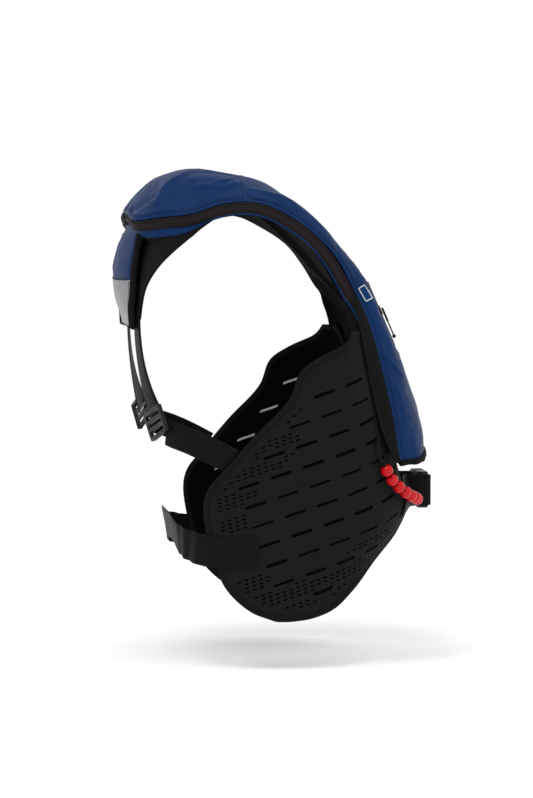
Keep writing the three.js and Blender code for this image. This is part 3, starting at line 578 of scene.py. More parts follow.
def stitches(heap, line, out, pitch=3.4, length=2.6, radius=0.34, sides=5):
    """A row of stitches along a line; out is the surface's outward direction at each point."""
    along = along_of(line)
    starts = np.arange(pitch * 0.3, along[-1] - length, pitch)
    bulge = np.array([0.35, 1.0, 1.0, 0.35])
    sink = np.array([-0.25, 0.12, 0.12, -0.25])
    at = starts[:, None] + np.array([0.0, 0.22, 0.78, 1.0]) * length
    centre = read_off(at, along, line)
    lift = unit(read_off(at, along, out))
    centre = centre + lift * (sink[:, None] + 0.1)
    direction = unit(centre[:, -1] - centre[:, 0])[:, None]
    side = unit(np.cross(direction, lift))
    turn = np.linspace(0, 2 * np.pi, sides, endpoint=False)
    ring = np.cos(turn)[:, None] * side[..., None, :] + np.sin(turn)[:, None] * lift[..., None, :]
    points = centre[..., None, :] + radius * bulge[:, None, None] * ring
    one, per = tube_faces(len(bulge), sides), len(bulge) * sides
    faces = [tuple(i + k * per for i in f) for k in range(len(starts)) for f in one]
    heap.put(points.reshape(-1, 3), faces)


def stitches_on(heap, girth, height, offset, mirror, **looks):
    """A row of stitches at a distance outside the form."""
    line, out = off_form(girth, height, offset) * mirror, form_out(girth, height) * mirror
    stitches(heap, line, out, **looks)


BOX_FACES = [(3, 2, 1, 0), (4, 5, 6, 7), (0, 1, 5, 4), (1, 2, 6, 5), (2, 3, 7, 6), (3, 0, 4, 7)]


def put_tooth(heap, first, last, wide, high):
    """A small block from its first to its last point, narrower at the top."""
    base = [first - wide, first + wide, last + wide, last - wide]
    narrow = wide * 0.6
    top = [first - narrow + high, first + narrow + high, last + narrow + high, last - narrow + high]
    heap.put(base + top, BOX_FACES)


def polished_node(name, material, bevel):
    """A CAD node shown with rounded edges and its own material."""
    node = NODES[name]
    node.data.materials.clear()
    node.data.materials.append(material)
    weld = node.modifiers.new("weld", "WELD")
    weld.merge_threshold = 0.00002
    rounding = node.modifiers.new("bevel", "BEVEL")
    rounding.width = bevel
    rounding.segments = 3
    rounding.angle_limit = 0.6
    for face in node.data.polygons:
        face.use_smooth = True
    smoothing = node.modifiers.new("edges", "EDGE_SPLIT")
    smoothing.split_angle = SHARP_ANGLE


# ---------------------------------------------------------------- camera, lights and floor
def place_camera():
    azimuth, elevation, distance = math.radians(6), math.radians(3), 4.17
    level = math.cos(elevation)
    away = Vector((-math.cos(azimuth) * level, math.sin(azimuth) * level, math.sin(elevation)))
    data = bpy.data.cameras.new("camera")
    data.lens = 155.8
    data.sensor_width = 36
    data.clip_end = 100
    made = bpy.data.objects.new("camera", data)
    made.location = Vector((0, -0.0054, -0.252)) + away * distance
    made.rotation_euler = away.to_track_quat("Z", "Y").to_euler()
    bpy.context.scene.collection.objects.link(made)
    bpy.context.scene.camera = made


def area_light(name, place, aim, size, watts):
    data = bpy.data.lights.new(name, "AREA")
    data.shape = "DISK"
    data.size = size
    data.energy = watts
    made = bpy.data.objects.new(name, data)
    made.location = place
    made.rotation_euler = (Vector(place) - Vector(aim)).to_track_quat("Z", "Y").to_euler()
    bpy.context.scene.collection.objects.link(made)


def set_stage():
    world = bpy.data.worlds.new("studio")
    world.use_nodes = True
    sky = world.node_tree.nodes["Background"]
    sky.inputs["Color"].default_value = (1.0, 1.0, 1.0, 1.0)
    sky.inputs["Strength"].default_value = 1.02
    bpy.context.scene.world = world
    bpy.context.scene.view_settings.view_transform = "Standard"
    area_light("key", (-1.0, 0.7, 2.6), (0, 0, -0.2), 1.4, 30)
    area_light("front_fill", (-2.6, -2.4, 0.6), (0, 0, -0.25), 2.0, 8)
    floor = bpy.data.meshes.new("floor")
    shape = bmesh.new()
    bmesh.ops.create_circle(shape, cap_ends=True, segments=96, radius=30)
    shape.to_mesh(floor)
    shape.free()
    material, tree, shader = new_material("pale floor")
    tone, _ = varied(tree, add(tree, "TexCoord").outputs["Object"], [0.975, 0.975, 0.975], 0.01, 3.0)
    tree.links.new(tone, shader.inputs["Base Color"])
    shader.inputs["Roughness"].default_value = 0.9
    floor.materials.append(material)
    made = bpy.data.objects.new("floor", floor)
    made.location = (0, 0, -0.56)
    bpy.context.scene.collection.objects.link(made)


place_camera()
set_stage()


# ---------------------------------------------------------------- outer cover
COVER_PITCH = 6.0
COVER_COLUMNS = 23
COVER_REFINED = 3
COVER_THICKNESS = 1.4
PUFF_FRAMES = 20


def stations_along(first, last, pitch):
    at = np.linspace(first, last, 201)
    along = along_of(cover_grid(OUTER, at, [0.5])[:, 0])
    count = int(round(along[-1] / pitch))
    return np.interp(np.linspace(0, along[-1], count + 1), along, at)


def puffed(grid, pinned, pressure, slack, cap):
    """The grid after a cloth simulation that blows it outwards between the pinned points."""
    scene = bpy.context.scene
    rows, columns = grid.shape[:2]
    mesh = mesh_from("puffed", grid.reshape(-1, 3), grid_faces(rows, columns))
    made = bpy.data.objects.new("puffed", mesh)
    scene.collection.objects.link(made)
    held = [int(i) for i in np.flatnonzero(pinned.ravel())]
    made.vertex_groups.new(name="pinned").add(held, 1.0, "REPLACE")
    modifier = made.modifiers.new("fabric", "CLOTH")
    settings = modifier.settings
    settings.quality = 7
    settings.mass = 0.12
    settings.tension_stiffness = 18
    settings.compression_stiffness = 18
    settings.shear_stiffness = 6
    settings.bending_stiffness = 0.08
    settings.use_pressure = True
    settings.uniform_pressure_force = pressure
    settings.vertex_group_mass = "pinned"
    settings.shrink_min = -slack
    settings.effector_weights.gravity = 0
    modifier.collision_settings.use_collision = False
    modifier.point_cache.frame_start = 1
    modifier.point_cache.frame_end = PUFF_FRAMES
    for number in range(1, PUFF_FRAMES + 1):
        scene.frame_set(number)
    evaluated = made.evaluated_get(bpy.context.evaluated_depsgraph_get())
    moved = np.zeros(grid.size)
    evaluated.to_mesh().vertices.foreach_get("co", moved)
    evaluated.to_mesh_clear()
    bpy.data.objects.remove(made)
    bpy.data.meshes.remove(mesh)
    scene.frame_set(1)
    shift = moved.reshape(grid.shape) / MM - grid
    far = np.linalg.norm(shift, axis=-1, keepdims=True)
    return grid + shift * np.minimum(1, cap / np.maximum(far, 1e-6))


def fold(grid, normals, path, width, height):
    """Raises the surface along a path by a height that fades out over a width and at the path's ends."""
    line = dense(path, 24)
    fade = np.sin(np.linspace(0, np.pi, len(line))) ** 0.6
    low, high = line.min(axis=0) - 3 * width, line.max(axis=0) + 3 * width
    near = np.all((grid > low) & (grid < high), axis=-1)
    spots = grid[near]
    gaps = np.linalg.norm(spots[:, None] - line[None], axis=-1)
    lift = height * fade[gaps.argmin(axis=1)] * np.exp(-((gaps.min(axis=1) / width) ** 2))
    grid = grid.copy()
    grid[near] += normals[near] * lift[:, None]
    return grid


def from_edge(grid, distance):
    """A line that runs along the grid's first column at a distance inside it."""
    return np.stack([read_off(distance, along_of(row), row) for row in grid])


def smooth_noise(shape, steps, seed):
    """Noise from -1 to 1 that changes over the given number of rows and columns."""
    source = np.random.default_rng(seed)
    coarse = source.uniform(-1, 1, [max(4, int(n / s) + 3) for n, s in zip(shape, steps)])
    for axis, size in enumerate(shape):
        coarse = np.swapaxes(coarse, 0, axis)
        coarse = cubic(coarse, np.linspace(0.5, len(coarse) - 1.5, size))
        coarse = np.swapaxes(coarse, 0, axis)
    return coarse


# Folds on the right side: path, width and height in mm. The left side has them mirrored.
FOLDS = [
    ([(-50, -108, -96), (-58, -124, -124), (-66, -136, -150), (-66, -146, -178), (-64, -156, -200)],
     34.0, -6.5),
    ([(-62, 84, 22), (-76, 100, 17), (-86, 114, 10), (-92, 130, 3), (-95, 143, -8), (-99, 150, -22)],
     4.5, 4.0),
    ([(-100, 34, 12), (-110, 42, 7), (-117, 52, 4), (-113, 72, 3), (-106, 84, 5), (-104, 100, 1)], 4.0, 3.1),
    ([(-96, 40, 14), (-106, 56, 10), (-111, 76, 4), (-112, 88, -1)], 3.4, 2.0),
    ([(-114, 66, 2), (-120, 77, -6), (-125, 86, -15)], 2.4, 1.5),
    ([(-119, 33, 2), (-122, 8, -5), (-119, -14, -12), (-116, -32, -20)], 4.0, 2.2),
    ([(-132, 33, -8), (-136, 5, -15), (-128, -32, -27)], 4.0, -1.0),
    ([(-60, 157, -15), (-66, 163, -24), (-74, 163, -31)], 4.0, 2.0),
    ([(-104, 141, -12), (-106, 148, -22), (-108, 151, -31)], 3.5, -1.6),
    ([(-90, 129, 1), (-108, 134, -16), (-117, 133, -28)], 5.0, 2.2),
    ([(-100, 113, 3), (-113, 117, -13), (-123, 116, -26)], 5.0, -1.2),
    ([(-112, 92, -2), (-121, 94, -13), (-129, 92, -23)], 4.5, 1.2),
    ([(-40, 118, 15), (-62, 122, 11), (-84, 122, 5)], 5.0, 1.4),
    ([(-30, 135, 8), (-52, 140, 3), (-80, 140, -5)], 5.0, -1.2),
    ([(-28, 80, 22), (-44, 96, 19), (-58, 112, 15), (-66, 128, 8)], 6.0, 1.3),
    ([(-126, -127, -190), (-125, -137, -201), (-121, -145, -208), (-113, -152, -216), (-100, -160, -222)],
     3.0, 2.0),
    ([(-126, -127, -194), (-125, -137, -205), (-120, -146, -213), (-111, -153, -221)], 2.6, -1.7),
    ([(-127, -118, -165), (-126, -127, -184), (-128, -131, -202)], 3.4, 0.9),
    ([(-125, -141, -222), (-124, -153, -248), (-125, -160, -283)], 3.6, 1.0),
    ([(-127, -154, -286), (-117, -165, -284), (-98, -177, -283)], 2.6, 1.0),
    ([(-127, -152, -291), (-117, -164, -289), (-98, -177, -288)], 2.6, -1.0),
    ([(-40, -182, -270), (-62, -178, -240), (-84, -166, -205)], 6.0, 1.4),
    ([(-30, -168, -200), (-52, -158, -180), (-78, -145, -160)], 6.0, 1.2),
    ([(-100, -150, -232), (-84, -172, -262), (-66, -184, -286)], 6.0, -1.0),
]


def cover_surface():
    """The cover from hem to hem: its grid, its outward directions, and the rows of its shoulder seams."""
    lobe = stations_along(0, SHOULDER_SEAM, COVER_PITCH)
    yoke = stations_along(SHOULDER_SEAM, LAST, COVER_PITCH)
    flat = cover_grid(OUTER, np.concatenate([lobe, yoke[1:]]), np.linspace(0, 1, COVER_COLUMNS))
    flat = mirrored_on(flat)
    right_seam, left_seam = len(lobe) - 1, len(flat) - len(lobe)
    pinned = np.zeros(flat.shape[:2], bool)
    pinned[:, [0, -1]] = True
    pinned[[0, right_seam, left_seam, -1]] = True
    on_yoke = np.zeros(len(flat))
    on_yoke[right_seam : left_seam + 1] = 1
    on_yoke = np.convolve(np.pad(on_yoke, 8, mode="edge"), np.ones(17) / 17, "valid")
    share = (0.4 + 0.6 * on_yoke)[:, None, None]
    settle = 2.4
    sunk = outward_of(flat) * (settle * np.minimum(1, edge_distances(flat) / 24))[..., None]
    full = puffed(flat, pinned, pressure=4.0, slack=0.015, cap=4.5)
    grid = flat + (full - flat) * share - sunk * share
    grid = finer(grid, COVER_REFINED)
    out, gap = outward_of(grid), edge_distances(grid)
    ripple = smooth_noise(grid.shape[:2], (5, 30), 3) * 0.5 * np.exp(-gap / 9) * np.minimum(1, gap / 2)
    swell = smooth_noise(grid.shape[:2], (26, 20), 5) * 0.7 * np.minimum(1, gap / 14)
    grid = grid + out * (ripple + swell)[..., None]
    for path, width, height in FOLDS:
        for mirror in (RIGHT, MIRROR):
            grid = fold(grid, out, np.array(path, float) * mirror, width, height)
    return grid, out, right_seam * COVER_REFINED, left_seam * COVER_REFINED


cover, cover_out, RIGHT_SEAM, LEFT_SEAM = cover_surface()
for name, rows, node in (
    ("lobe_cover_right", slice(RIGHT_SEAM + 1), "cover_outer_right"),
    ("yoke_cover", slice(RIGHT_SEAM, LEFT_SEAM + 1), "cover_outer_yoke"),
    ("lobe_cover_left", slice(LEFT_SEAM, None), "cover_outer_left"),
):
    top, low = cover[rows], cover[rows] - cover_out[rows] * COVER_THICKNESS
    piece = layered(name, top, low, BLUE, [node])


# ---------------------------------------------------------------- edges, seams and stitching of the cover
def cover_edges():
    """Piping along the zip edge, binding along the neck edge, stitching and shoulder seams."""
    closed_tube("cover_edge_piping", cover[::2, 0], 0.9, 0.8, cover_out[::2, 0], BLUE)
    closed_tube("neck_binding", cover[::2, -1] + [0, 0, 2.8], 3.3, 0.75, cover_out[::2, -1], BINDING)
    heap = Heap()
    for distance in (4.0, 6.6):
        stitches(heap, from_edge(cover, distance), cover_out[:, 4])
    stitches(heap, from_edge(cover[:, ::-1], 6.0), cover_out[:, -4])
    for seam_row in (RIGHT_SEAM, LEFT_SEAM):
        for row in (seam_row - 1, seam_row + 1):
            stitches(heap, cover[row], cover_out[row], pitch=2.9, length=2.5, radius=0.45)
    heap.make("cover_stitching", BLUE_THREAD, "cover_fabric")
    seam = Heap()
    for row in (RIGHT_SEAM, LEFT_SEAM):
        line, out = cover[row - 1 : row + 2].mean(axis=0), cover_out[row]
        seam.put(*tube(line + out * 0.1, 2.4, 10, 0.3, out))
    seam.make("shoulder_seams", BLUE, "cover_fabric")


cover_edges()


def blank_tag():
    """A plain woven label with a light border on the right lobe, near the burst zip."""
    centre = np.array([-113.0, -110.0, -123.5])
    right = cover[: RIGHT_SEAM + 1]
    row, column = np.unravel_index(np.linalg.norm(right - centre, axis=-1).argmin(), right.shape[:2])
    patch = slice(row - 5, row + 6), slice(column - 3, column + 5)
    top, out = finer(cover[patch], 2), unit(finer(cover_out[patch], 2))
    layered("blank_tag", top + out * 0.7, top + out * 0.1, BLUE_EDGE)
    border = Heap()
    line, lift = (
        np.concatenate([grid[1, 1:-1], grid[1:-1, -2], grid[-2, -2:0:-1], grid[-2:0:-1, 1]])
        for grid in (top + out * 0.8, out)
    )
    stitches(border, line, lift, pitch=1.3, length=1.25, radius=0.65)
    border.make("blank_tag_border", WHITE_THREAD, "cover_fabric")


blank_tag()


# ---------------------------------------------------------------- burst zip, gussets, hems and linings
ZIP_HALF = 6.6
COIL_PITCH = 0.65  # in rows of the zip
PIPING_START = 60  # the zip row at which the blue piping along the rear tape starts


def zip_centre_rows():
    """Stations, centre points and crosswise directions of the right burst zip, every 2 mm."""
    behind = np.array([0.92, 0.4, 0]) * 3.8
    sides = []
    for i in range(LAST + 1):
        rear = INNER_ALL[i][0] if i >= GUSSET_TOP else GUSSET_EDGE[i] + behind
        front = OUTER[i][0] + (0 if i >= GUSSET_TOP else behind)
        sides.append((front, rear))
    centre = np.array([(a + b) / 2 for a, b in sides])
    toward = np.array([unit(b - a) for a, b in sides])
    at = np.linspace(1.3, LAST, 1200)
    line = spline(centre, at)
    along = along_of(line)
    at = np.interp(np.arange(0, along[-1], 2.0), along, at)
    return at, spline(centre, at), unit(spline(toward, at))


ZIP_AT, ZIP_LINE_ROWS, ZIP_ACROSS = zip_centre_rows()
ZIP_OUT = unit(np.cross(np.gradient(ZIP_LINE_ROWS, axis=0), ZIP_ACROSS))
ZIP_OUT = ZIP_OUT * np.sign((ZIP_OUT * np.array([-1.0, 0.4, 0.3])).sum(axis=1))[:, None]


def burst_zip(end, mirror):
    """Tape, coil, stitching and facing of a burst zip, and the piping along it."""
    shares = np.array([-1, -0.94, -0.72, -0.46, -0.3, -0.12, 0, 0.12, 0.3, 0.46, 0.72, 0.94, 1])
    raised = np.array([0.3, 0.9, 1.0, 0.75, 1.5, 1.7, 1.75, 1.7, 1.5, 0.75, 1.0, 0.9, 0.3])
    line, side, out = (a * mirror for a in (ZIP_LINE_ROWS, ZIP_ACROSS, ZIP_OUT))
    middle = line[:, None] + side[:, None] * (shares * ZIP_HALF)[:, None]
    top, low = middle + out[:, None] * raised[:, None], middle - out[:, None] * 0.9
    layered("burst_zip_tape_" + end, top, low, TAPE, ["burst_zip_" + end])
    reach = (np.linspace(-1.5, 1.5, 9) * ZIP_HALF)[:, None]
    behind = line[:, None] + side[:, None] * reach - out[:, None] * (1.6 + 0.036 * reach**2)
    under = behind - out[:, None] * 0.7
    layered("burst_zip_facing_" + end, behind, under, BLACK)
    coil = Heap()
    fine = np.arange(0, len(line) - 1.01, COIL_PITCH)
    base = fine.astype(int)
    share = (fine - base)[:, None]
    spot = line[base] * (1 - share) + line[base + 1] * share
    for sign in (-1, 1):
        first = spot + side[base] * sign * 0.2 + out[base] * 1.6
        last = spot + side[base] * sign * 2.2 + out[base] * 1.2
        for tooth in zip(first, last, tangents(line)[base] * 0.42, out[base] * 0.55):
            put_tooth(coil, *tooth)
    coil.make("burst_zip_coil_" + end, COIL, "zip_tape")
    rows = Heap()
    for share in (-0.84, -0.6, 0.6, 0.84):
        stitches(rows, line + side * share * ZIP_HALF + out * 0.95, out, pitch=3.0, length=2.2, radius=0.28)
    rows.make("burst_zip_stitching_" + end, THREAD, "zip_tape")
    piping = (line + side * (ZIP_HALF + 0.9))[PIPING_START:]
    closed_tube("lower_piping_" + end, piping, 1.1, 0.8, out[PIPING_START:], BLUE_EDGE)


both_sides(burst_zip)


def burst_zip_tab():
    """The tab over the place where the two burst zips meet at the back."""
    line, side, out = (rows[-5:, None] for rows in (ZIP_LINE_ROWS, ZIP_ACROSS, ZIP_OUT))
    shares = np.linspace(-1.06, 1.06, 15)[:, None]
    grid = line + side * shares * ZIP_HALF
    top, low = grid + out * (2.7 - 0.9 * shares**6), grid - out * 0.6
    layered("burst_zip_tab", mirrored_on(top), mirrored_on(low), BINDING)


burst_zip_tab()


def gusset(end, mirror):
    """The fabric between the cover and the side panel, bound along the panel."""
    stations = np.linspace(0, GUSSET_TOP - 0.4, 90)
    front = cover_grid(OUTER, stations, [0.0])[:, 0]
    rear = spline(GUSSET_EDGE, stations)
    shares = np.linspace(0.02, 1, 15)
    grid = front[:, None] * (1 - shares)[:, None] + rear[:, None] * shares[:, None]
    out = normals_of(grid, (-1, 0, 0))
    bulge = np.sin(np.pi * shares) * 1.6
    lengthwise = 0.5 * np.sin(shares * 9 + smooth_noise((90, 15), (20, 9), 12) * 2)
    top = (grid + out * (bulge + lengthwise * np.sin(np.pi * shares))[..., None]) * mirror
    low = (grid - out * 1.4) * mirror
    piece = layered("gusset_" + end, top, low, BLACK, ["side_gusset_" + end])
    edge = grid[:, -1] * mirror
    rim = closed_tube("gusset_binding_" + end, edge, 2.0, 0.7, out[:, -1] * mirror, BINDING)
    rows = Heap()
    stitches(rows, (grid[:, -3] + out[:, -3] * bulge[-3]) * mirror, out[:, -3] * mirror)
    thread = rows.make("gusset_stitching_" + end, THREAD, "black_fabric")


both_sides(gusset)


def spline_rows(guides, count):
    """Rows on smooth curves through the guide rows."""
    at = np.linspace(0, len(guides) - 1, count)
    return np.stack([spline(guides[:, k], at) for k in range(guides.shape[1])], axis=1)


def hem(end, mirror):
    """The fabric round the lower end of a lobe."""
    shares = np.linspace(0, 1, 49)
    edge = cover_grid(OUTER, [0.0], shares)[0]
    above = cover_grid(OUTER, [0.4], shares)[0]
    inside = cover_grid(INNER_ALL, [0.2], shares)[0]
    guides = []
    for drop, inward in ((0.2, 0), (3.5, -0.01), (7, 0), (8.4, 0.12), (8.4, 0.5), (7, 0.93)):
        guides.append(edge + (inside - edge) * inward + unit(edge - above) * drop)
    grid = spline_rows(np.array(guides), 25)
    out = normals_of(grid, (0, -1, -0.6))
    ripple = 0.5 * np.sin(shares * 42 + 1)[None, :] * np.sin(np.linspace(0, np.pi, 25))[:, None]
    top, low = (grid + out * (0.3 + ripple)[..., None]) * mirror, (grid - out * 1.4) * mirror
    layered("hem_" + end, top, low, BLACK, ["lobe_hem_" + end])
    rows = Heap()
    for row in (2, 7):
        stitches(rows, top[row], out[row] * mirror)
    rows.make("hem_stitching_" + end, THREAD, "black_fabric")


both_sides(hem)


def inner_rows(first_station, last_station):
    return np.linspace(first_station, last_station, int((last_station - first_station) * 14))


def lining(name, stations, material, node, mirror, whole=False):
    """The inner layer of the cover; whole carries it over to the left side."""
    shares = np.linspace(0, 1, 31)
    grid = cover_grid(INNER_ALL, stations, shares)
    if whole:
        grid = mirrored_on(grid)
    out = outward_of(grid)
    soft = smooth_noise(grid.shape[:2], (9, 8), 21) * np.sin(np.pi * shares) * 0.9
    grid = grid + out * (soft + 0.4)[..., None]
    top, low = grid * mirror, (grid - out * 1.3) * mirror
    piece = layered(name, low, top, material, [node])


# The lobe linings take the darkest black, not the black fabric: painted shade for the shadow of a wearer's
# body inside the jacket.
both_sides(lambda end, mirror: lining(
    "lobe_lining_" + end, inner_rows(0.2, SHOULDER_SEAM), BACKING_AND_LINING_SHADE,
    "cover_inner_" + end, mirror,
))
lining("yoke_lining", inner_rows(SHOULDER_SEAM, LAST), BLUE, "cover_inner_yoke", RIGHT,
       whole=True)


def neck_facing():
    """The strip that closes the cover along the neck, from its outer to its inner layer."""
    at = np.linspace(0.2, LAST, 170)
    outer, inner = (cover_grid(guides, at, [1.0]) for guides in (OUTER, INNER_ALL))
    shares = np.linspace(0.04, 1, 8)[:, None]
    grid = outer * (1 - shares) + inner * shares
    out = normals_of(grid, (1, 0, 0))
    soft = smooth_noise(grid.shape[:2], (7, 5), 81)[..., None] * 0.4
    grid = grid + out * (1.2 * np.sin(np.pi * shares) + soft)
    top, low = mirrored_on(grid), mirrored_on(grid - out * 0.8)
    layered("neck_facing", top, low, BLACK)


neck_facing()


SKIRT_TOP = [*(ZIP_LINE_ROWS + ZIP_ACROSS * ZIP_HALF)[ZIP_AT > 11.3][::6], (0, 160, -47)]
SKIRT_LOW = [
    (-136, 72, -37), (-137, 86, -47), (-137, 101, -59), (-126, 121, -64), (-98, 136, -64), (-51, 141, -62),
    (0, 142, -62),
]


def skirt(name, first_share, last_share, material, sag):
    """A band of fabric across the back, between two shares of the way from SKIRT_TOP to SKIRT_LOW."""
    upper, lower = (
        evenly(dense(np.array(guides, float)), np.linspace(0, 1, 70))[:, None]
        for guides in (SKIRT_TOP, SKIRT_LOW)
    )
    shares = np.linspace(first_share, last_share, 9)
    grid = upper * (1 - shares)[:, None] + lower * shares[:, None]
    outward = unit(np.stack([grid[..., 0] * 0.8, grid[..., 1], np.full(grid.shape[:2], -20.0)], axis=-1))
    hang = np.sin(np.pi * shares) * sag + smooth_noise(grid.shape[:2], (6, 5), 71) * 0.5
    grid, outward = mirrored_on(grid + outward * hang[..., None]), mirrored_on(outward)
    piece = layered(name, grid + outward * 0.6, grid - outward * 0.6, material)


skirt("yoke_skirt_blue", 0.0, 0.5, BLUE, 1.6)
skirt("yoke_skirt_black", 0.46, 1.0, BLACK, 1.0)


# ---------------------------------------------------------------- the folded bladder
def bladder():
    """The bladder, pleated between the outer and the inner layer."""
    stations = np.linspace(0.6, LAST, 150)
    fade = np.clip((stations - 6) / 3, 0, 1)
    start = 0.5 + (0.22 - 0.5) * fade**2 * (3 - 2 * fade)
    inside, outside = (cover_grid(g, stations, np.linspace(0, 1, 81)) for g in (INNER_ALL, OUTER))
    top, low = (
        np.array([
            evenly(inner * (1 - share) + outer * share, np.linspace(first, 0.82, 25))
            for inner, outer, first in zip(inside, outside, start)
        ])
        for share in (0.62, 0.36)
    )
    out = unit(top - low)
    shares = np.linspace(0, 1, 25)
    pleats = np.abs(np.sin(shares * np.pi * 3.5))[None, :] * 1.6
    wander = smooth_noise(top.shape[:2], (8, 6), 31) * 0.5
    top = top - out * (pleats + wander + 0.6)[..., None]
    piece = layered("folded_bladder", mirrored_on(top), mirrored_on(low), YELLOW, ["bladder"])


bladder()


# ---------------------------------------------------------------- perforated side panels
PANEL_LOW, PANEL_HIGH = 1.1, 2.9
LOWEST_BACKING_HOLE = -425
SLOT_LENGTH, SLOT_WIDTH = 26.0, 3.5
DASH_LENGTH, DASH_WIDTH = 5.4, 1.9
SLOT_STEP = np.array([37.5, 12.5])
ROW_STEP = np.array([8.4, -23.0])
DASH_START = np.array([4.8, 7.0])
DASH_STEP = np.array([8.0, 2.7])
DASH_DROP = np.array([0.7, -4.6])
SLOPE = math.atan2(SLOT_STEP[1], SLOT_STEP[0])
SLOT_ALONG = np.array([math.cos(SLOPE), math.sin(SLOPE)])
SLOT_SIDE = np.array([-SLOT_ALONG[1], SLOT_ALONG[0]])
# Girth and height of one slot of the pattern, and of the place under the waist belt that has no slots.
SLOT_START, BELT_PLACE = flat_points([(-160, 33, -344), (-153, 40, -423)])


def capsule(centre, length, width, arc):
    """Outline of a round-ended slot along the rows' slope."""
    reach, radius = (length - width) / 2, width / 2
    points = []
    for sign in (1, -1):
        for turn in np.linspace(-np.pi / 2, np.pi / 2, arc):
            across = SLOT_SIDE * radius * math.sin(turn)
            points.append(centre + sign * (SLOT_ALONG * (reach + radius * math.cos(turn)) + across))
        if length > 3 * width:
            for share in (1 / 3, -1 / 3):
                points.append(centre + sign * (SLOT_ALONG * reach * share + SLOT_SIDE * radius))
    return np.array(points)


def inside_of(points, outline):
    """Whether each point is inside a closed outline, and how far it is from it."""
    x, y = points[:, 0][:, None], points[:, 1][:, None]
    a, b = outline, np.roll(outline, -1, axis=0)
    crosses = (a[:, 1] > y) != (b[:, 1] > y)
    rise = np.where(b[:, 1] == a[:, 1], 1e-9, b[:, 1] - a[:, 1])
    left = x < (b[:, 0] - a[:, 0]) * (y - a[:, 1]) / rise + a[:, 0]
    within = (crosses & left).sum(axis=1) % 2 == 1
    edge = b - a
    share = np.clip(((points[:, None] - a) * edge).sum(-1) / np.maximum((edge**2).sum(-1), 1e-9), 0, 1)
    gap = np.linalg.norm(points[:, None] - a - share[..., None] * edge, axis=-1).min(axis=1)
    return within, gap


def panel_outline():
    """The panel's outline in girth and height, with points about 5 mm apart."""
    rear, front = (
        spline(flat_points(p), np.linspace(0, len(p) - 1, 12 * len(p))) for p in (PANEL_REAR, PANEL_FRONT)
    )
    loop = np.concatenate([rear[::-1], front, rear[-1:]])
    count = int(along_of(loop)[-1] / 5)
    return evenly(loop, np.arange(count) / count)


def in_window(spots, centre, half_girth, half_height):
    return (np.abs(spots[:, 0] - centre[0]) < half_girth) & (np.abs(spots[:, 1] - centre[1]) < half_height)


def panel_slots(outline):
    """Centres of the long slots, in slanting rows."""
    slots = np.array([
        SLOT_START + i * SLOT_STEP + j * ROW_STEP for i in range(-12, 12) for j in range(-12, 12)
    ])
    keep = ~in_window(slots, BELT_PLACE, 24, 24)
    for sign in (-1, 0, 1):
        within, gap = inside_of(slots + sign * SLOT_ALONG * SLOT_LENGTH / 2, outline)
        keep &= within & (gap > 19)
    return slots[keep]


def panel_dashes(outline, slots):
    """Centres of the short slots along the rear and lower margins, clear of the long ones."""
    dashes = np.array([
        SLOT_START + DASH_START + i * DASH_STEP + j * DASH_DROP
        for i in range(-60, 60) for j in range(-60, 60)
    ])
    within, gap = inside_of(dashes, outline)
    dashes = dashes[within & (gap > 14) & (gap < 46)]
    free = ~in_window(dashes, BELT_PLACE, 26, 24)
    free &= ~((dashes[:, 0] - SLOT_START[0] > 60) & (dashes[:, 1] > -400))
    for slot in slots:
        along, side = (dashes - slot) @ SLOT_ALONG, (dashes - slot) @ SLOT_SIDE
        free &= ~((np.abs(along) < SLOT_LENGTH / 2 + 6) & (np.abs(side) < 5.2))
        free &= ~((np.abs(along) < 100) & (np.abs(side) < 3))
        free &= ~(np.hypot(along / 1.6, side) < 9)
    return dashes[free]


def panel_ripple(spots):
    wave_one = np.sin(spots[:, 0] / 31 + spots[:, 1] / 47) * 0.5
    return 0.5 + wave_one * 0.5 + np.sin(spots[:, 1] / 19 - spots[:, 0] / 60) * 0.3


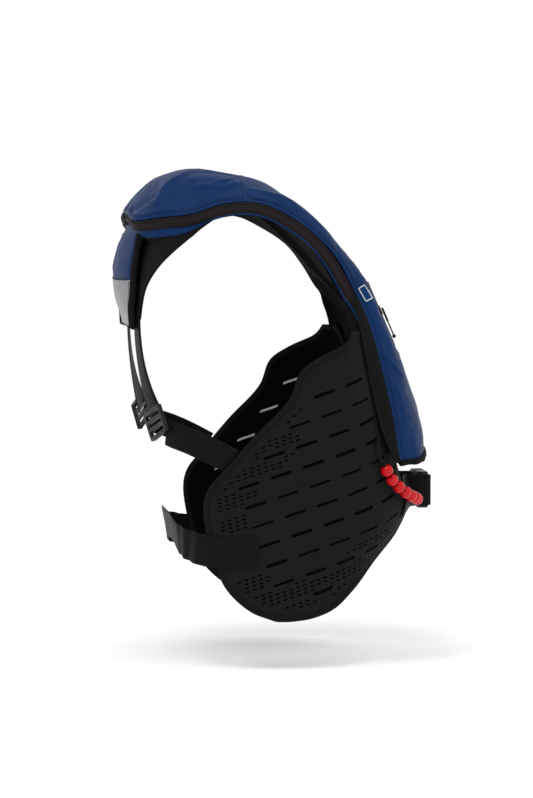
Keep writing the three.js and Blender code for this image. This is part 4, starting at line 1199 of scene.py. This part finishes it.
def flat_piece(outline, holes, low, high, spacing):
    """Points, faces and UVs of a closed flat piece on the form, cut out along an outline with holes."""
    lowest, highest = outline.min(axis=0), outline.max(axis=0)
    grid = np.stack(np.meshgrid(
        np.arange(lowest[0], highest[0], spacing), np.arange(lowest[1], highest[1], spacing)
    ), axis=-1).reshape(-1, 2)
    within, gap = inside_of(grid, outline)
    grid = grid[within & (gap > spacing * 0.5)]
    clear = np.ones(len(grid), bool)
    for hole in holes:
        near = np.linalg.norm(grid - hole.mean(axis=0), axis=1) < SLOT_LENGTH
        within, gap = inside_of(grid[near], hole)
        clear[near] &= ~within & (gap > 1.5)
    edges, start = [], 0
    for loop in [outline, *holes]:
        edges += [(start + k, start + (k + 1) % len(loop)) for k in range(len(loop))]
        start += len(loop)
    points = [Vector(p) for p in np.concatenate([outline, *holes, grid[clear]])]
    spots, _, triangles, *_ = geometry.delaunay_2d_cdt(points, edges, [], 0, 1e-5)
    spots = np.array([tuple(p) for p in spots])
    triangles = np.array(triangles)
    middle = spots[triangles].mean(axis=1)
    within, _ = inside_of(middle, outline)
    for hole in holes:
        near = np.flatnonzero(np.linalg.norm(middle - hole.mean(axis=0), axis=1) < SLOT_LENGTH)
        within[near] &= ~inside_of(middle[near], hole)[0]
    triangles = triangles[within]
    used = np.unique(triangles)
    renumber = np.full(len(spots), -1)
    renumber[used] = np.arange(len(used))
    triangles, spots = renumber[triangles], spots[used]
    a, b, c = (spots[triangles[:, k]] for k in range(3))
    turn = (b[:, 0] - a[:, 0]) * (c[:, 1] - a[:, 1]) - (b[:, 1] - a[:, 1]) * (c[:, 0] - a[:, 0])
    triangles[turn < 0] = triangles[turn < 0][:, ::-1]
    sides = np.concatenate([triangles[:, [0, 1]], triangles[:, [1, 2]], triangles[:, [2, 0]]])
    known = {tuple(s) for s in sides.tolist()}
    rim = [(p, q) for p, q in known if (q, p) not in known]
    count = len(spots)
    lift = panel_ripple(spots)
    top, under = (off_form(spots[:, 0], spots[:, 1], above + lift) for above in (high, low))
    faces = [tuple(t) for t in triangles[:, ::-1].tolist()]
    faces += [tuple(p + count for p in t) for t in triangles.tolist()]
    faces += [(p, q, q + count, p + count) for p, q in rim]
    return np.concatenate([top, under]), faces, np.concatenate([spots, spots]) * MM


def signed_area(outline):
    x, y = outline.T
    return (x * np.roll(y, -1) - np.roll(x, -1) * y).sum() / 2


def flat_loop(outline, inset):
    """The outline moved inwards by an inset, and closed with its first two points."""
    along = np.roll(outline, -1, axis=0) - np.roll(outline, 1, axis=0)
    side = unit(np.stack([-along[:, 1], along[:, 0]], axis=1))
    moved = outline + side * inset * np.sign(signed_area(outline))
    return np.concatenate([moved, moved[:2]])


PANEL_OUTLINE = panel_outline()
PANEL_SLOTS = panel_slots(PANEL_OUTLINE)
PANEL_HOLES = [
    capsule(centre, SLOT_LENGTH, SLOT_WIDTH + 0.7 * math.sin(2.1 * k), 5)
    for k, centre in enumerate(PANEL_SLOTS)
]
PANEL_HOLES += [
    capsule(centre, DASH_LENGTH, DASH_WIDTH, 4) for centre in panel_dashes(PANEL_OUTLINE, PANEL_SLOTS)
]
PANEL_SHAPE = flat_piece(PANEL_OUTLINE, PANEL_HOLES, PANEL_LOW, PANEL_HIGH, 6.0)


def backing_holes():
    """Pairs of small mesh holes behind each long slot that is not low down on the panel."""
    turn = np.arange(5) * 2 * np.pi / 5
    ring = 0.55 * np.stack([np.cos(turn), np.sin(turn)], axis=1)
    return [
        centre + SLOT_ALONG * (2.6 * k + shift) + SLOT_SIDE * shift + ring
        for centre in PANEL_SLOTS if centre[1] > LOWEST_BACKING_HOLE
        for k in range(-4, 5)
        for shift in (-0.75, 0.75)
    ]


BACKING_SHAPE = flat_piece(flat_loop(PANEL_OUTLINE, 4.0)[:-2], backing_holes(), 0.4, 0.9, 9.0)


def mirrored_mesh(name, shape, mirror):
    points, faces, uv = shape
    faces = faces if mirror is RIGHT else [f[::-1] for f in faces]
    return mesh_from(name, points * mirror, faces, uv)


def side_panel(end, mirror):
    """A perforated panel with its mesh backing, binding and stitching."""
    name = "perforated_panel_" + end
    mesh = mirrored_mesh(name, PANEL_SHAPE, mirror)
    piece = finish_object(name, mesh, PANEL, ["side_panel_" + end])
    name = "mesh_backing_" + end
    mesh = mirrored_mesh(name, BACKING_SHAPE, mirror)
    backing = finish_object(name, mesh, BACKING_AND_LINING_SHADE)
    inner = flat_loop(PANEL_OUTLINE, 3.2)
    above = (PANEL_LOW + PANEL_HIGH) / 2 + panel_ripple(inner)
    line = off_form(inner[:, 0], inner[:, 1], above) * mirror
    out = form_out(inner[:, 0], inner[:, 1]) * mirror
    binding = closed_tube("panel_binding_" + end, line, 4.4, 0.42, out, BINDING, 12)
    rows = Heap()
    for inset in (6.2, 13.0):
        loop = flat_loop(PANEL_OUTLINE, inset)
        height = PANEL_HIGH + panel_ripple(loop) + (0.6 if inset < 7 else 0)
        stitches_on(rows, loop[:, 0], loop[:, 1], height, mirror, pitch=3.6)
    thread = rows.make("panel_stitching_" + end, THREAD, "panel_fabric")


# ---------------------------------------------------------------- webbing
WEBBING_COLUMNS = 13
WEBBING_PITCH = 2.5
WEBBING_THICKNESS = 1.8
WEBBING_OFFSET = 3.2
BACK_STRAP = [
    (-73, 151, -141), (-76, 151, -155), (-80, 151, -175), (-86, 148, -205), (-100, 142, -235),
    (-116, 131.5, -263),
]
ADJUSTER = [(-134, 120, -283), (-150, 96, -292), (-160, 66, -308), (-163, 46, -320)]
BELT = [
    (-156, 20, -423), (-153, 46, -423), (-143, 73, -422), (-115, 96, -415), (-62, 108, -404),
    (-20, 110, -399), (0, 110, -398),
]


def ribbon_rows(guides, width):
    """Girths and heights of a ribbon's points, row by row along its guide points."""
    centre = spline(flat_points(guides), np.linspace(0, len(guides) - 1, 240))
    count = int(along_of(centre)[-1] / WEBBING_PITCH)
    centre = evenly(centre, np.linspace(0, 1, count + 1))
    along = tangents(centre)
    shift = np.linspace(-0.5, 0.5, WEBBING_COLUMNS) * width
    girth = centre[:, 0][:, None] - along[:, 1][:, None] * shift
    height = centre[:, 1][:, None] + along[:, 0][:, None] * shift
    return girth, height


def woven(name, girth, height, offset, mirror, node, whole=False, lift=0.0):
    """Ribbed webbing on a ribbon's points; lift is an extra distance from the form."""
    shares = np.linspace(-1, 1, girth.shape[1])
    rib = 0.18 * np.cos(shares * 22)
    thin = 0.55 * np.abs(shares) ** 10
    top = off_form(girth, height, offset + WEBBING_THICKNESS + rib - thin + lift)
    low = off_form(girth, height, offset + thin * 0.5 + lift)
    if whole:
        top, low = mirrored_on(top), mirrored_on(low)
    layered(name, top * mirror, low * mirror, WEBBING, [node])


def sewn_box(heap, girth, height, offset, mirror, first, last):
    """A stitched box with a cross, between two rows of a ribbon."""
    near, far = 1, WEBBING_COLUMNS - 2
    corners = [
        (first, near), (first, far), (last, far), (last, near), (first, near), (last, far), (last, near),
        (first, far),
    ]
    spots = [(girth[corner], height[corner]) for corner in corners]
    for start, stop in zip(spots[:-1], spots[1:]):
        flat = np.linspace(start, stop, 12)
        stitches_on(heap, flat[:, 0], flat[:, 1], offset, mirror, pitch=2.8, length=2.0)


def straps(end, mirror):
    """The straps from the back panel to the ladder lock and from there to the side panel."""
    heap = Heap()
    girth, height = ribbon_rows(BACK_STRAP, 34)
    woven("back_strap_webbing_" + end, girth, height, WEBBING_OFFSET, mirror, "back_strap_" + end)
    for column in (1, WEBBING_COLUMNS - 2):
        stitches_on(heap, girth[:, column], height[:, column], WEBBING_OFFSET + 1.9, mirror, pitch=3.2)
    sewn_box(heap, girth, height, WEBBING_OFFSET + 1.95, mirror, 1, 6)
    girth, height = ribbon_rows(ADJUSTER, 30)
    spots = np.stack([girth.ravel(), height.ravel()], axis=1)
    within, gap = inside_of(spots, PANEL_OUTLINE)
    over = np.where(within, gap, -gap).reshape(girth.shape)
    tucked = -5.0 / (1 + np.exp(-(over + 7) / 2.2))
    kept = len(girth) - 3
    woven("adjuster_webbing_" + end, girth[:kept], height[:kept], WEBBING_OFFSET, mirror,
          "adjuster_strap_" + end, lift=tucked[:kept])
    for column in (1, WEBBING_COLUMNS - 2):
        sewn = slice(-12), column
        stitches_on(heap, girth[sewn], height[sewn], WEBBING_OFFSET + 1.85 + tucked[sewn], mirror, pitch=3.2)
    heap.make("strap_stitching_" + end, THREAD, "webbing")


def waist_belt():
    """The belt from one side panel round the back to the other."""
    girth, height = ribbon_rows(BELT, 38)
    offset = WEBBING_OFFSET + 1
    along = np.linspace(0, 1, len(girth))[:, None]
    bow = 0.8 * along * np.sin(14 * along)
    bow = bow + 1.5 * np.exp(-((along - 0.42) / 0.13) ** 2) * (1 + np.sin(60 * along))
    woven("waist_belt_webbing", girth, height, offset, RIGHT, "waist_belt", whole=True, lift=bow)
    heap = Heap()
    both_sides(lambda end, mirror: sewn_box(heap, girth, height, offset + 1.95, mirror, 2, 12))
    heap.make("belt_stitching", THREAD, "webbing")


both_sides(straps)
waist_belt()
both_sides(side_panel)


BUCKLE_HEIGHT = -361
# The belt's middle from the panel to the buckle: x, distance in front of the form, and height.
FRONT_BELT = [
    (-94, 5.4, -370), (-78, 4.4, -367), (-62, 4.2, -364), (-48, 6, BUCKLE_HEIGHT), (-33.5, 12, BUCKLE_HEIGHT),
]
# The webbing's way round the buckle's bar: x and y.
BUCKLE_LOOP = [
    (-29.5, -183.4), (-26.2, -185.5), (-25.5, -192), (-26.3, -198.6), (-29.5, -200.6), (-32.8, -198.5),
    (-34.4, -191.5),
]


def front_belt(end, mirror):
    """The belt from a side panel to the buckle."""
    shares = np.linspace(-1, 1, WEBBING_COLUMNS)
    grid = np.array([
        [front_of_form(x, z + 19 * share, distance) for share in shares[::-1]]
        for x, distance, z in spline(FRONT_BELT, np.linspace(0, len(FRONT_BELT) - 1, 33))
    ])
    thin = 0.5 * np.abs(shares) ** 10
    forward = np.array([0.0, -1.0, 0.0])
    top = grid + forward * (WEBBING_THICKNESS - thin + 0.18 * np.cos(shares * 22))[:, None]
    layered("front_belt_webbing_" + end, top * mirror, grid * mirror, WEBBING,
            ["front_belt_" + end])


both_sides(front_belt)


def buckle_webbing(end, mirror, body, shift):
    """The belt's end, sewn into a loop through the buckle's slot and round its bar."""
    columns = []
    for z in BUCKLE_HEIGHT + 18.3 * np.linspace(1, -1, WEBBING_COLUMNS):
        under, over = (front_of_form(-34.2 + shift, z, distance) for distance in (12.9, 15.0))
        path = np.array([under, *((x + shift, y, z) for x, y in BUCKLE_LOOP), over])
        columns.append(spline(path, np.linspace(0, len(path) - 1, 65)))
    grid = np.stack(columns, axis=1)
    out = normals_of(grid, (1, 0, 0))
    rib = 0.9 + 0.14 * np.cos(np.linspace(-22, 22, WEBBING_COLUMNS))[None, :, None]
    top, low = (grid + out * rib) * mirror, (grid - out * rib) * mirror
    layered("buckle_webbing_" + end, top, low, WEBBING, body=body)


buckle_webbing("right", RIGHT, "buckle_prong_side", 0.0)
buckle_webbing("left", MIRROR, "jacket", -1.4)


# ---------------------------------------------------------------- back panel
BACK_PANEL_EDGE = [(-137, 101, -57), (-132, 116, -70), (-118, 136, -92), (-96, 148, -120), (-80, 150, -152)]


def back_panel():
    """The mesh panel below the collar, bound at its two sides."""
    side = spline(flat_points(BACK_PANEL_EDGE), np.linspace(0, len(BACK_PANEL_EDGE) - 1, 49))
    middle = np.array([-outline_at(z, 240)[2][0] for z in side[:, 1]])
    shares = np.linspace(0, 1, 41)
    girth = side[:, 0][:, None] + (-middle - side[:, 0])[:, None] * shares
    height = np.repeat(side[:, 1][:, None], 41, axis=1)
    soft = smooth_noise(girth.shape, (10, 10), 44) * 0.5
    top, low = (mirrored_on(off_form(girth, height, above + soft), axis=1) for above in (2.9, 0.5))
    layered("back_mesh_panel", top, low, BLACK, ["back_panel"])
    rim = off_form(side[:, 0], side[:, 1], 1.7)
    out = form_out(side[:, 0], side[:, 1])
    both_sides(lambda end, mirror: closed_tube(
        "back_panel_binding_" + end, rim * mirror, 3.4, 0.6, out * mirror, BINDING,
    ))


back_panel()


# ---------------------------------------------------------------- back flap
FLAP_HALF = 85
FLAP_THICKNESS = 5
FLAP_COLUMNS = 61
FLAP_SPLIT = -107  # height of the reflective fabric's upper edge
FLAP_MIDDLE = [(168, -52), (177, -78), (180, -102), (179, -120), (174, -138), (164, -163)]
FLAP_EDGE = [(155, -52), (160, -78), (163, -102), (164, -120), (166, -138), (165, -163)]
ROOT_BINDING = [(-85, 152.4, -58), (-87, 150, -50), (-94, 145, -46), (-104, 139, -44), (-113, 131, -43.0)]


def flap_curve(guides):
    return spline([(0.0, *p) for p in guides], np.linspace(0, len(guides) - 1, 301))


def flap_grid(first_share, last_share, rows):
    """The flap's outer face between two shares of its length."""
    shares = np.linspace(first_share, last_share, rows)
    middle, edge = (evenly(flap_curve(guides), shares) for guides in (FLAP_MIDDLE, FLAP_EDGE))
    s = np.linspace(-1, 1, FLAP_COLUMNS)
    y = middle[:, 1][:, None] + (edge[:, 1] - middle[:, 1])[:, None] * s**2
    z = np.repeat(middle[:, 2][:, None], FLAP_COLUMNS, axis=1)
    return np.stack([np.broadcast_to(FLAP_HALF * s, y.shape), y, z], axis=-1)


def flap_split():
    """The share of the flap's length at which the reflective fabric starts."""
    line = flap_curve(FLAP_MIDDLE)
    along = along_of(line)
    return float(np.interp(-FLAP_SPLIT, -line[:, 2], along / along[-1]))


def flap_root():
    """The strip of cover fabric that joins the flap to the yoke."""
    x = np.linspace(-FLAP_HALF, FLAP_HALF, FLAP_COLUMNS)
    s = x / FLAP_HALF
    low = np.stack([x, 167.2 - 12.4 * s**2, np.full(FLAP_COLUMNS, -53.0)], axis=1)
    high = np.stack([x, 159.0 - 8 * s**2, -38.0 - 5 * s**2], axis=1)
    shares = np.linspace(0, 1, 12)[:, None, None]
    grid = low * (1 - shares) + high * shares
    out = normals_of(grid, (0, 1, 0))
    grid = grid + out * (smooth_noise(grid.shape[:2], (5, 9), 61) * 0.5)[..., None]
    layered("flap_root", grid, grid - out * 3.4, BLUE)
    curve = dense(ROOT_BINDING)
    out = np.tile([-0.7, 0.5, -0.5], (len(curve), 1))
    both_sides(lambda end, mirror: closed_tube(
        "flap_root_binding_" + end, curve * mirror, 3.8, 0.55, out * mirror, BINDING,
        12,
    ))


flap_root()


def back_flap():
    """The flap over the back panel: cover fabric above, reflective fabric below."""
    split = flap_split()
    for name, start, stop, row_count, material, slot, node, seed in (
        ("flap_cover", 0.0, split, 41, BLUE, "cover_fabric", "back_flap", 51),
        ("flap_reflective", split + 0.004, 1.0, 25, SILVER, "reflective", "reflective_panel", 52),
    ):
        grid = flap_grid(start, stop, row_count)
        out = normals_of(grid, (0, 1, 0))
        body = np.minimum(1, (1 - np.abs(np.linspace(-1, 1, FLAP_COLUMNS))) * 9)
        creases = smooth_noise(grid.shape[:2], (7, 12), seed) * 0.7 * body
        top = grid + out * (creases - 1.2 * (1 - body))[..., None]
        low = grid - out * (FLAP_THICKNESS - 1.6 * (1 - body))[..., None]
        piece = layered(name, top, low, material, [node], "rear_flap")
    rows = Heap()
    whole = flap_grid(0.0, 1.0, 80)
    out = normals_of(whole, (0, 1, 0))
    middle = whole - out * FLAP_THICKNESS / 2
    side = np.tile([1.0, 0.0, 0.0], (len(whole), 1))
    for end, column, sewn in (("right", 0, 2), ("left", -1, -3)):
        closed_tube("flap_binding_" + end, middle[:, column], 4.0, 0.55, side, BINDING,
                    12, "rear_flap")
        stitches(rows, whole[:, sewn] + out[:, sewn] * 0.2, out[:, sewn])
    down = np.tile([0.0, 0.3, -1.0], (FLAP_COLUMNS, 1))
    closed_tube("flap_bottom_binding", middle[-1], 3.6, 0.5, down, BINDING, 12, "rear_flap")
    join = flap_grid(split, split + 0.02, 3)
    stitches(rows, join[0] + [0, 0.4, 1.6], normals_of(join, (0, 1, 0))[0])
    rows.make("flap_stitching", BLUE_THREAD, "cover_fabric", body="rear_flap")


back_flap()


# ---------------------------------------------------------------- manual pull
def beside_form(y, z, distance):
    """The point at a depth and a height that is a distance outside the form's right side."""
    rear, front = 40.0, 300.0
    for _ in range(40):
        girth = (rear + front) / 2
        if off_form(girth, z, distance)[1] > y:
            rear = girth
        else:
            front = girth
    return off_form(rear, z, distance)


PULL_ROUTE = [
    (-122, -289, 6), (-120, -300, 6.4), (-124, -314, 8), (-131, -326, 10), (-138, -338, 12), (-145, -348, 13),
    (-153, -355, 14), (-161, -361, 14.6), (-170, -365, 15), (-177, -368, 15), (-182, -371, 15),
]
BEAD_COUNT, BEAD_RADIUS, BEAD_BORE, BEAD_PITCH, FIRST_BEAD = 7, 7.3, 2.8, 14.9, 46.0
BEAD_SEGMENTS = 40
CORD_DIAMETER = 3.0


def lathe(profile, centre, axis):
    """Rings of revolution from (radius, height) pairs about an axis through a point."""
    axis = unit(axis)
    side = unit(np.cross(axis, [0.3, 0.5, 0.8]))
    other = np.cross(axis, side)
    turn = np.linspace(0, 2 * np.pi, BEAD_SEGMENTS, endpoint=False)
    ring = np.cos(turn)[:, None] * side + np.sin(turn)[:, None] * other
    profile = np.array(profile)
    return centre + profile[:, 0][:, None, None] * ring + profile[:, 1][:, None, None] * axis


def bead(number, centre, axis):
    """A round bead with a bore for the cord."""
    start = math.asin(BEAD_BORE / BEAD_RADIUS)
    angles = np.linspace(start, math.pi - start, 20)
    profile = [(BEAD_RADIUS * math.sin(a), -BEAD_RADIUS * math.cos(a)) for a in angles]
    reach = BEAD_RADIUS * math.cos(start)
    profile += [(BEAD_BORE - 0.5, reach - 0.7), (BEAD_BORE - 0.5, -reach + 0.7)]
    points = lathe(profile, centre, axis).reshape(-1, 3)
    faces = grid_faces(len(profile) + 1, BEAD_SEGMENTS, 0, True, True) % len(points)
    name = f"red_bead_{number}"
    mesh = mesh_from(name, points, faces, points[:, [0, 2]] * MM)
    return finish_object(name, mesh, RED, [f"pull_bead_{number}"], "manual_pull")


def knot_line(centre, axis):
    """A trefoil about an axis."""
    side = unit(np.cross(axis, [0, 0, 1]))
    other = np.cross(axis, side)
    turn = np.linspace(0, 2 * np.pi, 90)[:, None]
    ring = np.cos(2 * turn) * side + np.sin(2 * turn) * other
    return centre + (2.0 + 0.7 * np.cos(3 * turn)) * ring + np.sin(3 * turn) * axis * 1.6


def manual_pull():
    """The beaded cord with its stop knot."""
    route = dense([beside_form(*p) for p in PULL_ROUTE], 40)
    along = along_of(route)
    total = FIRST_BEAD + (BEAD_COUNT - 0.5) * BEAD_PITCH + 4.5

    def at(distance):
        return read_off(distance, along, route)

    for k in range(BEAD_COUNT):
        place = FIRST_BEAD + k * BEAD_PITCH
        bead(k + 1, at(place), at(place + 2) - at(place - 2))
    knot = Heap()
    knot.put(*tube(knot_line(at(total), unit(at(total) - at(total - 2))), 1.4, 10))
    knot.make("stop_knot", CORD, "cord", ["pull_knot"], "manual_pull")
    path = at(np.linspace(0, total - 1.0, 120))
    mesh = mesh_from("beaded_cord", *tube(path, CORD_DIAMETER / 2, 12))
    cord = finish_object("beaded_cord", mesh, CORD, ["pull_cord"], "manual_pull")


manual_pull()


# ---------------------------------------------------------------- chest zip
ZIP_GUIDES = np.array([
    [0, -127, -111], [0, -159, -185], [0, -176, -240], [0, -187, -283], [0, -192, -304],
], float)
TOOTH_PITCH = 1.5


def zip_facing(end, mirror):
    """The fabric from the back of a zip tape to the neck edge of the lobe."""
    at = np.linspace(0.1, 4.9, 80)
    edge = (cover_grid(OUTER, at, [1.0])[:, 0] + cover_grid(INNER_ALL, at, [1.0])[:, 0]) / 2
    depth = np.interp(-edge[:, 2], -ZIP_GUIDES[:, 2], ZIP_GUIDES[:, 1]) + 1.2
    tape = np.stack([np.full(len(edge), -11.5), depth, edge[:, 2]], axis=1)
    shares = np.linspace(0, 1.1, 7)[:, None]
    grid = tape[:, None] * (1 - shares) + edge[:, None] * shares
    out = normals_of(grid, (0, -1, 0))
    top, low = grid * mirror, (grid - out * 0.8) * mirror
    layered("zip_facing_" + end, top, low, BLACK)


def chest_zip():
    """The two tapes, the core and the teeth of the chest zip."""
    line = evenly(ZIP_GUIDES, np.linspace(0, 1, 130))
    out = unit(np.cross(tangents(line), [-1.0, 0.0, 0.0]))
    out = out * np.sign(-out[:, 1])[:, None]
    side = np.array([1.0, 0.0, 0.0])
    shares = np.linspace(0, 1, 9)
    for sign, end in ((-1, "right"), (1, "left")):
        middle = line[:, None] + side * (sign * (2.6 + 10.8 * shares))[:, None]
        top = middle + out[:, None] * (0.5 + 0.12 * np.cos(shares * 18))[:, None]
        low = middle - out[:, None] * 0.5
        layered("chest_zip_" + end, top, low, TAPE, ["chest_zip_tape_" + end])
    base = line[:, None] + side * np.linspace(-2.9, 2.9, 7)[:, None]
    layered("chest_zip_core", base + out[:, None] * 0.5, base - out[:, None] * 1.0, TAPE,
            ["chest_zip_chain"])
    teeth = Heap()
    total = along_of(line)[-1]
    fine = evenly(line, np.arange(0.5, total, TOOTH_PITCH) / total)
    lift = unit(read_off(np.arange(len(fine)), np.linspace(0, len(fine) - 1, len(out)), out))
    along = tangents(fine)
    for sign in (-1, 1):
        first = fine + lift * 0.5 + side * sign * -0.3 + along * 0.37 * sign
        for tooth in zip(first, first + side * sign * 2.7, along * 0.5, lift * 0.75):
            put_tooth(teeth, *tooth)
    teeth.make("chest_zip_teeth", COIL, "zip_tape")
    both_sides(zip_facing)


chest_zip()


# ---------------------------------------------------------------- hardware that keeps its CAD shape
for name, material, bevel in (
    ("buckle_socket", PLASTIC, 0.0007),
    ("buckle_prongs", PLASTIC, 0.0007),
    ("chest_zip_slider", PLASTIC, 0.0007),
    ("inflator_body", PLASTIC, 0.0007),
    ("ladder_lock_right", PLASTIC, 0.0007),
    ("ladder_lock_left", PLASTIC, 0.0007),
    ("chest_zip_puller", PLASTIC, 0.0003),
    ("oral_tube", PLASTIC, 0.0003),
    ("gas_cylinder", STEEL, 0.0004),
    ("sensor_cap", GREEN, 0.0006),
    ("inflator_lever", RED, 0.0006),
    ("oral_tube_cap", RED, 0.0005),
    ("whistle", ORANGE, 0.0008),
):
    polished_node(name, material, bevel)
